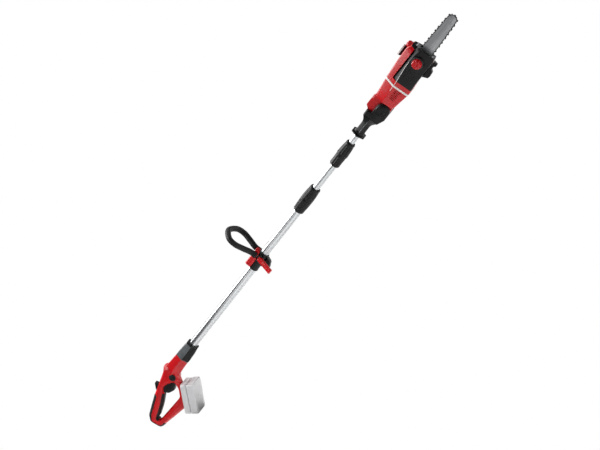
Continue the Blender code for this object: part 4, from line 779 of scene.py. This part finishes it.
def ringed(side, inner):
    """A domed disc with two turned grooves: corners going out from the axis."""
    outer = 38.0
    return sided([
        (inner, 0, 0), (inner, 22, 0), (outer - 4, 22, 1.2), (outer - 1.2, 19.5, 1),
        (outer - 0.6, 16.5, 0.4), (outer - 1.6, 15.8, 0.3), (outer - 0.5, 15, 0.3), (outer, 9, 1),
        (outer - 1.4, 8, 0.4), (outer - 1.2, 0, 0),
    ], side)


stand(turned("tilt_release_button", "black", "Y", PIVOT, ringed(-1, 31.0), 96), "pivot_button")
stand(turned("tilt_cap", "black", "Y", PIVOT, ringed(1, 26.9), 96), "pivot_cap")


# Saw head, measured from the tilt axis

WALL = 2.6
UPPER_FLAT, LOWER_FLAT = 0.62, 0.82         # widths of the flats as shares of the ridge's
HOUSING_SOFT = (0.3, 7, 4, 8, 0.3, 0.1, 5, 3, 5, 0.1)
# x, ridge half width, top, bottom, ridge height
HOUSING = [
    (26, 35, 48, -20, 18), (34, 37.5, 50.5, -24, 18.5), (60, 40, 52.5, -27.5, 20), (103, 41, 57.6, -34, 22),
    (121, 41, 59, -33, 23), (140, 41, 60.5, -31, 25), (180, 41, 63.5, -31, 29), (225, 39, 65, -31, 31),
    (240, 36.5, 61, -30, 30), (248, 32, 54, -27, 28),
]


def half_outline(side, near, flats, sizes):
    """Corners (y, z) of half a housing's section, from the top at near round to the bottom."""
    width, top, bottom, ridge = sizes
    upper, lower = width * flats[0], width * flats[1]
    half = [(near, top), (upper, top), (width, ridge), (lower, bottom), (near, bottom)]
    return [(side * y, z) for y, z in half]


def wall_section(side, near, flats, soft, sizes):
    """Half a housing's section, outside then inside, one wall apart, with the fillets in soft."""
    width, top, bottom, ridge = sizes
    upper, lower = width * flats[0] - WALL * 0.6, width * flats[1] - WALL
    inside = [
        (near, bottom + WALL), (lower, bottom + WALL), (width - WALL * 1.1, ridge), (upper, top - WALL),
        (near, top - WALL),
    ]
    corners = half_outline(side, near, flats, sizes) + [(side * y, z) for y, z in inside]
    return sections([(*corner, r) for corner, r in zip(corners, soft)], 6)


def housing_at(x):
    """The housing's outer size at places along X."""
    return flow(x, HOUSING, 5)


def facet_point(x, share):
    """A point on the near lower facet, share of the way from the ridge down, and its place along X."""
    width, top, bottom, ridge = (float(v[0]) for v in housing_at(np.array([float(x)])))
    return np.array([x, -width * (1 + (LOWER_FLAT - 1) * share), ridge + (bottom - ridge) * share])


def vent_cutter(name, x, side, half=1.25):
    """A slanted slot through the lower facet: an oval outline in the XZ plane, cut along Y."""
    first, second = facet_point(x, 0.22), facet_point(x, 0.62)
    a, b = first[[0, 2]] + (3, 0), second[[0, 2]]
    away = (b - a) / np.linalg.norm(b - a)
    wide = np.array([-away[1], away[0]]) * half
    outline = rounded([(*p, half * 0.95) for p in (a - wide, b - wide, b + wide, a + wide)], 5)
    low, high = sorted((side * 28, side * 60))
    return from_pivot(slab(name, "black", "XZ", outline, low, high, 0.0, 1))


x = np.linspace(26.5, 247.5, 200)
for side, tag in SIDES:
    halves = wall_section(side, SEAM, (UPPER_FLAT, LOWER_FLAT), HOUSING_SOFT, housing_at(x))
    shell = from_pivot(skin(f"motor_housing_{tag}", "red", lay("YZ", halves, x[:, None])))
    cutters = [vent_cutter(f"vent_{tag}_{i}", 56 + 6.2 * i, side) for i in range(7)]
    if side < 0:
        way = block("cover_way", "black", (121.7, -80, -60), (280, -6.8, 41.3), 1, 0.0)
        cutters.append(from_pivot(way))
    stand(carve(shell, *cutters), f"motor_shell_{tag}")

# Black plate behind the slots: painted shade for the dark inside of the housing seen through them
x = np.linspace(50, 98, 20)
width, top, bottom, ridge = housing_at(x)
lower = width * LOWER_FLAT
for side, tag in SIDES:
    plate = sections([
        (side * (width - 5), ridge - 2, 0.3), (side * (lower - 5), bottom + 8, 0.3),
        (side * (lower - 6.5), bottom + 8, 0.3), (side * (width - 6.5), ridge - 2, 0.3),
    ], 2)
    plate = skin(f"vent_shade_plate_{tag}", "black", lay("YZ", plate, x[:, None]))
    beside(from_pivot(plate), f"motor_shell_{tag}")

# End walls, and the knuckle between the fork's cheeks
END_WALLS = (("back", "red", 26.2, 29.0, 27.0), ("front", "black", 244.5, 247.6, 246.0))
for tag, look, low, high, x_at in END_WALLS:
    width, top, bottom, ridge = housing_at(np.array([x_at]))
    outline = whole_section(width - 0.2, top - 0.2, bottom + 0.2, ridge, UPPER_FLAT, LOWER_FLAT, 6.0)[0]
    wall = slab(f"housing_{tag}_wall", look, "YZ", outline, low, high, 0.8, 2)
    beside(from_pivot(wall), "motor_shell_right")
KNUCKLE = rounded([
    (0, -22, 0.5), (-22, -22, 21.9), (-30, 24, 4), (-30, 42, 7), (-20, 54, 9), (2, 54, 11), (16, 49, 8),
    (40, 51, 1), (40, -20, 1),
], 8)
for side, tag in SIDES:
    low, high = sorted((side * SEAM, side * 21.4))
    half = from_pivot(slab(f"tilt_knuckle_{tag}", "red", "XZ", KNUCKLE, low, high, 0.0, 1))
    bevel = half.modifiers.new("edge", "BEVEL")
    bevel.width, bevel.segments, bevel.angle_limit = 1.8 * MM, 3, math.radians(50)
    bevel.limit_method = "ANGLE"
    beside(half, f"motor_shell_{tag}")


def band(name, look, low, high, grow, depth):
    """A ring that follows the housing, its section a small rounded rectangle."""
    profile = rounded([(low, -depth, 0.2), (low, grow, 0.7), (high, grow, 0.7), (high, -depth, 0.2)], 4)
    width, top, bottom, ridge = housing_at(profile[:, 0])
    g = profile[:, 1]
    ring = whole_section(width + g, top + g, bottom - g, ridge, UPPER_FLAT, LOWER_FLAT, 7.0)
    return from_pivot(skin(name, look, lay("YZ", ring, profile[:, :1]), True))


stand(band("trim_band", "pale", 99.2, 106.2, 1.0, 1.2), "trim_ring")

# Pale strip that runs forwards from the band along the side ridge: a painted highlight on the ridge's edge
x = np.linspace(80, 205, 80)
width, top, bottom, ridge = housing_at(x)
highlight_section = rounded([(-1.4, -0.95, 0.3), (-1.4, 0.95, 0.3), (0.75, 0.5, 0.3), (0.75, -0.5, 0.3)], 3)
y = -(np.maximum(width, np.where(x > 121, 41.3, 0))[:, None] + highlight_section[None, :, 0])
z = ridge[:, None] + highlight_section[None, :, 1]
beside(from_pivot(strip("painted_ridge_highlight", "pale", x, y, z)), "trim_ring")

# Sprocket cover: x, ridge half width, top, bottom, ridge height
COVER = [
    (122, 41.3, 40, -32, 23), (140, 41.4, 41, -31, 25), (180, 41.4, 41, -31, 29), (230, 40.2, 41, -31, 29),
    (256, 37, 37, -30, 24), (262.6, 33, 31, -27, 20),
]
COVER_IN, COVER_FLATS = 7.0, (0.68, 0.84)
COVER_SOFT = (0.5, 5, 3, 7, 0.5, 0.1, 4, 2, 3, 0.1)

x = np.linspace(122.2, 262.4, 120)
open_half = wall_section(-1, COVER_IN, COVER_FLATS, COVER_SOFT, flow(x, COVER, 4))
stand(from_pivot(skin("chain_cover", "black", lay("YZ", open_half, x[:, None]))), "sprocket_cover")
rear = np.array([122.2, 122.9, 124.6])
corners = half_outline(-1, COVER_IN, COVER_FLATS, flow(rear + 1, COVER, 1))
end = sections([(*corner, r) for corner, r in zip(corners, COVER_SOFT)])
beside(from_pivot(skin("cover_back", "black", lay("YZ", end, rear[:, None]))), "sprocket_cover")
# Lengthwise ribs on the cover's lower facet
bead = rounded([(-1.3, 0, 0.2), (1.3, 0, 0.2), (0.8, -2.2, 0.6), (-0.8, -2.2, 0.6)], 3)
ease = np.sin(np.linspace(0, math.pi, 40))[:, None] ** 0.3
for i in range(6):
    share = 0.14 + 0.13 * i
    x = np.linspace(127, 196 - 4 * i, 40)
    width, top, bottom, ridge = (v[:, None] for v in flow(x, COVER, 4))
    y = 0.6 - width * (1 - 0.16 * share) + bead[:, 1] * ease
    z = ridge + (bottom - ridge) * share + bead[:, 0] * ease
    beside(from_pivot(strip(f"cover_rib_{i}", "black", x, y, z)), "sprocket_cover")


def on_stud(name, look, profile, sides=96, wave=None):
    """A piece turned about the stud that the knob screws on."""
    return from_pivot(turned(name, look, "Y", (STUD_X, 0, BAR_Z), profile, sides, wave))


boss = [(-28, 6, 0), (-28, 24, 0), (-39, 22, 2), (-40, 19, 0.5), (-40, 6, 0)]
beside(on_stud("cover_boss", "black", boss), "sprocket_cover")
ring = [(-40.3, 5, 0), (-40.3, 21, 0.6), (-44.2, 21, 1.0), (-44.2, 5, 0)]
stand(on_stud("chain_tension_ring", "black", ring, 192, ribs(40, 0.012)), "tension_ring")
scale = [(-43.4, 17.6, 0), (-43.4, 19.6, 0), (-44.6, 19.4, 0.3), (-44.6, 17.8, 0.3)]
beside(on_stud("tension_scale", "grey", scale), "tension_ring")
knob = [
    (-44.7, 5, 0), (-44.7, 16.6, 0.4), (-55, 15.8, 1.5), (-58.6, 13, 2), (-59, 6, 1), (-57.6, 4, 1),
    (-57.4, 0, 0), (-50, 0, 0), (-50, 5, 0),
]
stand(on_stud("bar_clamp_knob", "red", knob, 192, ribs(12, 0.035, 2)), "cover_knob")
wing = rounded([(-14.5, -3, 2.8), (14.5, -3, 2.8), (14.5, 3, 2.8), (-14.5, 3, 2.8)], 6)
c, s = math.cos(0.5), math.sin(0.5)
turned_wing = wing @ np.array([[c, s], [-s, c]]) + (STUD_X, BAR_Z)
beside(from_pivot(slab("knob_wing", "red", "XZ", turned_wing, -60.4, -55, 1.2, 3)), "cover_knob")

# Guide bar: nearly straight edges that draw in to a round nose, from the formula of its half height
BASE_HALF, BAR_REAR = 19.0, 184.0


def bar_upper(grow, count=60):
    """Upper edge: half height falls from base to nose as share**2.2, then a quarter circle."""
    x = np.linspace(BAR_REAR + 12, NOSE_X - 2, count)
    share = (x - BAR_REAR) / (NOSE_X - BAR_REAR)
    half = BASE_HALF + (NOSE_R - BASE_HALF) * share**2.2
    t = np.linspace(0.06, math.pi / 2, 24)
    along = np.stack([x, BAR_Z + half + grow], -1)
    nose = np.stack([NOSE_X + (NOSE_R + grow) * np.sin(t), BAR_Z + (NOSE_R + grow) * np.cos(t)], -1)
    return np.vstack([along, nose])


def below(upper):
    """The same edge mirrored under the bar's middle, from the nose back."""
    return np.stack([upper[-2::-1, 0], 2 * BAR_Z - upper[-2::-1, 1]], -1)


upper = bar_upper(0)
outline = np.vstack([[(BAR_REAR, BAR_Z + 11)], upper, below(upper), [(BAR_REAR, BAR_Z - 11)]])
stand(from_pivot(slab("bar_plate", "bar", "XZ", outline, BAR_Y - 2, BAR_Y + 2, 0.35, 2)), "guide_bar")
upper = bar_upper(-3.4)
inner = np.vstack([[(BAR_REAR + 14, BAR_Z + 8)], upper, below(upper), [(BAR_REAR + 14, BAR_Z - 8)]])
beside(from_pivot(slab("bar_face", "bar", "XZ", inner, BAR_Y - 2.25, BAR_Y + 2.25, 0.3, 2)), "guide_bar")
RIVET_HEAD = [(2.1, 1.6, 0), (2.5, 1.2, 0.3), (2.7, 0, 0)]
rivet = [(BAR_Y + y, r, f) for y, r, f in sided(RIVET_HEAD[::-1], -1) + RIVET_HEAD]
for i, t in enumerate(np.arange(5) * math.tau / 5):
    at = (NOSE_X - 3 + 6.2 * math.cos(t), 0, BAR_Z + 6.2 * math.sin(t))
    beside(from_pivot(turned(f"nose_rivet_{i}", "zinc", "Y", at, rivet, 20)), "guide_bar")

# Chain: rivets at an even pitch round the bar and the sprocket
PITCH = 9.5


def chain_path(grow):
    """The chain's line: the bar's edge out to the nose and back, then half round the sprocket."""
    upper = bar_upper(grow)
    t = np.linspace(0, math.pi, 40)
    radius = SPROCKET_R + grow
    turn = np.stack([SPROCKET_X - radius * np.sin(t), BAR_Z - radius * np.cos(t)], -1)
    return np.vstack([upper, below(upper), turn])


def chain_links():
    """Plates placed on the chords between rivets. A plate's corners are (along, out) from the middle
    of its chord, and it fills a span of Y about the bar's middle plane."""
    path = chain_path(1.6)
    around = np.linalg.norm(np.roll(path, -1, 0) - path, axis=1).sum()
    count = int(round(around / PITCH / 2)) * 2
    rivets = spaced(path, count)
    ahead = np.roll(rivets, -1, 0)
    middle = (rivets + ahead) / 2
    along = (ahead - rivets) / np.linalg.norm(ahead - rivets, axis=1, keepdims=True)
    outward = np.stack([-along[:, 1], along[:, 0]], -1)

    def plates(name, chosen, corners, soft, low, high):
        shape = rounded([(*c, soft) for c in corners], 2)
        flat = (middle[chosen][:, None] + along[chosen][:, None] * shape[None, :, :1]
                + outward[chosen][:, None] * shape[None, :, 1:])
        rows = np.stack([lay("XZ", flat, BAR_Y + y) for y in (low, high)], 1)
        return from_pivot(many(name, "chain", rows))

    every = np.arange(count)
    drive, tie = every[0::2], every[1::2]
    strap = [(-7.2, -1.4), (7.2, -1.4), (7.2, 1.3), (3.6, 1.5), (-3.6, 1.5), (-7.2, 1.3)]
    dog = [
        (-6.8, -1.5), (-2.6, -1.6), (-0.8, -4.6), (0.8, -4.6), (2.6, -1.6), (6.8, -1.4), (6.8, 1.2),
        (3, 1.4), (0, 1.7), (-3, 1.4), (-6.8, 1.2),
    ]
    cutter = [
        (-7.0, -1.4), (7.0, -1.4), (7.2, 0.9), (6.6, 2.4), (5.0, 2.8), (3.6, 1.3), (0.4, 1.0),
        (-0.9, 4.5), (-6.2, 3.4), (-7.2, 1.2),
    ]
    tooth = [(-6.3, 2.9), (-0.8, 3.7), (-0.5, 4.6), (-6.3, 3.7)]
    pieces = [plates("chain_drive_links", drive, dog, 0.5, -0.7, 0.7)]
    # A strap faces each cutter, and the cutters are near and far by turns
    for kind, corners, soft, inner, outer, shift in (
        ("straps", strap, 0.9, 1.0, 2.4, 1), ("cutters", cutter, 0.4, 1.0, 2.6, 0),
        ("teeth", tooth, 0.15, -0.6, 3.4, 0),
    ):
        for i, (side, tag) in enumerate(FACES):
            chosen, span = tie[(i + shift) % 2 :: 2], sorted((side * inner, side * outer))
            pieces.append(plates(f"chain_{kind}_{tag}", chosen, corners, soft, *span))
    t = np.linspace(0, math.tau, 10, endpoint=False)
    circle = np.stack([np.cos(t), np.sin(t)], -1)
    radius = np.array([0.9, 1.3, 1.3, 0.9])[:, None, None]
    flat = rivets[:, None, None] + circle[None, None] * radius
    height = np.array([-2.95, -2.6, 2.6, 2.95])[None, :, None] + BAR_Y
    pieces.append(from_pivot(many("chain_rivets", "zinc", lay("XZ", flat, height))))
    return pieces


links = chain_links()
stand(links[0], "saw_chain")
for piece in links[1:]:
    beside(piece, "saw_chain")

# Oil filler cap, whose pale top is a painted highlight on the black cap's lit top, the dome beside it, and
# the hook under the front
FILLER_AT = (201, 5, 0)
cap = [
    (50.3, 0, 0), (50.3, 16, 0), (60, 16, 1), (66, 17, 1), (67.5, 19.2, 0.8), (74, 19.6, 1), (75, 15, 0.5),
    (75, 0, 0),
]
cap = turned("filler_cap_body", "black", "Z", FILLER_AT, cap, 240, ribs(30, 0.018))
stand(from_pivot(cap), "oil_cap")
# Pale disc and bar on the cap's top: painted highlight of the lit top of the black cap
disc = [(72, 0, 0), (72, 20.1, 0.5), (76.6, 19.8, 1.2), (77.8, 16, 1), (77, 14.4, 0.4), (77.2, 0, 0)]
beside(from_pivot(turned("filler_cap_highlight_disc", "pale", "Z", FILLER_AT, disc, 96)), "oil_cap")
grip_bar = rounded([(189, 2, 2.8), (213, 2, 2.8), (213, 8, 2.8), (189, 8, 2.8)], 5)
beside(from_pivot(slab("filler_cap_highlight_bar", "pale", "XY", grip_bar, 76, 79, 1, 3)), "oil_cap")
dome = [(56, 0, 0), (56, 12.5, 0), (66, 12.5, 2), (72.5, 9, 5), (74, 0, 0)]
beside(from_pivot(turned("housing_dome", "red", "Z", (233.5, 6, 0), dome, 96)), "motor_shell_right")
HOOK = [
    (172, -31.3, 0.3), (181, -49, 2), (190, -51, 2.5), (206, -49, 3), (213, -41, 5), (226, -41, 4),
    (232, -47, 2), (239, -46, 2.5), (242, -31.3, 0.3),
]
stand(from_pivot(slab("branch_hook", "black", "XZ", rounded(HOOK, 6), -4, 12, 2, 4)), "limb_hook")


# CAD nodes that stay, each with the finish of the real piece

KEPT = {
    "zinc": "handle_bolt handle_screw trigger_pin lever_pin loop_bolt pivot_pin sprocket_shaft "
            "shaft_bearing drive_sprocket bar_stud",
    "black": "main_switch terminal_block battery_button inner_end_plug",
    "grey": "battery_cells", "pale": "lock_collet oil_tank", "motor": "motor_can motor_rotor",
    "cast": "bevel_gear gearcase", "brass": "bevel_pinion", "bar": "nose_sprocket spike_plate",
}
# The rest lie under the pieces above. A word in the name gives the finish, and without one it's black
HIDDEN = {
    "shell": "red", "saddle": "red", "lever": "red", "knob": "red", "pad": "rubber", "loop": "rubber",
    "tube": "tube", "spigot": "tube", "case": "smoke", "trim": "pale", "guide": "bar", "chain": "chain",
}
kept_look = {name: look for look, names in KEPT.items() for name in names.split()}
for name, node in frame["nodes"].items():
    look = kept_look.get(name) or next((v for key, v in HIDDEN.items() if key in name), "black")
    for slot in node.material_slots:
        slot.material = LOOK[look]
    if not node.material_slots:
        node.data.materials.append(LOOK[look])


# Floor, light and camera

REACH = 15.0
floor_z = CAD_BOX[0].z - 0.002
corners = [(x * REACH, y * REACH, floor_z) for x, y in ((-1, -1), (1, -1), (1, 1), (-1, 1))]
floor = bpy.data.meshes.new("floor")
floor.from_pydata(corners, [], [(0, 1, 2, 3)])
ground = linked("floor", floor)
floor.materials.append(finish("matt_white_paper", ("E2E2E1", "DCDCDB"), (0.85, 0.95), 400, 3, 0.02))


def softbox(name, at, size, power):
    """A rectangular lamp at a place, turned to face the middle of the pole."""
    lamp = bpy.data.lights.new(name, "AREA")
    lamp.shape, lamp.size, lamp.size_y, lamp.energy = "RECTANGLE", size[0], size[1], power
    made = linked(name, lamp)
    made.location = at
    made.rotation_euler = (-Vector(at)).to_track_quat("-Z", "Y").to_euler()


softbox("key", (-0.8, -0.5, 2.2), (3.4, 1.2), 55)
softbox("front", (-1.6, -2.8, 0.9), (1.4, 0.7), 6)
softbox("back", (0.6, 2.0, 1.6), (2.6, 0.8), 16)
even = bpy.data.lights.new("ceiling", "SUN")
even.energy, even.angle = 2.7, math.radians(50)
linked("ceiling", even).rotation_euler = (math.radians(-14), math.radians(-12), 0)

world = bpy.data.worlds.new("studio")
bpy.context.scene.world = world
world.use_nodes = True
tree = world.node_tree
tree.nodes.clear()
seen = add(tree, "LightPath").outputs["Is Camera Ray"]
dim, bright = (
    add(tree, "Background", inputs={"Color": (1, 1, 1, 1), "Strength": strength}).outputs[0]
    for strength in (0.06, 1.0)
)
mixed = add(tree, "MixShader", {0: seen, 1: dim, 2: bright})
add(tree, "OutputWorld", {"Surface": mixed.outputs[0]})

# Camera: 30 degrees round from the side towards the saw, level, rolled so that the pole climbs
AROUND, ROLL = math.radians(30), math.radians(51.6)
DISTANCE, SEEN_WIDTH = 20.0, 1.95
target = Vector((-0.009, 0.0, -0.034))
place = target + DISTANCE * Vector((math.sin(AROUND), -math.cos(AROUND), 0))
place.z = floor_z       # the floor is edge-on
forward = (target - place).normalized()
level = forward.cross(Vector((0, 0, 1))).normalized()
steep = level.cross(forward)
right = math.cos(ROLL) * level - math.sin(ROLL) * steep
upward = math.sin(ROLL) * level + math.cos(ROLL) * steep
lens = bpy.data.cameras.new("camera")
lens.sensor_width = 36.0
lens.lens = lens.sensor_width * DISTANCE / SEEN_WIDTH
lens.clip_end = 100.0
camera = linked("camera", lens)
axes = Matrix((right, upward, -forward)).transposed().to_4x4()
axes.translation = place
camera.matrix_world = axes
bpy.context.scene.camera = camera
bpy.context.scene.view_settings.view_transform = "Standard"
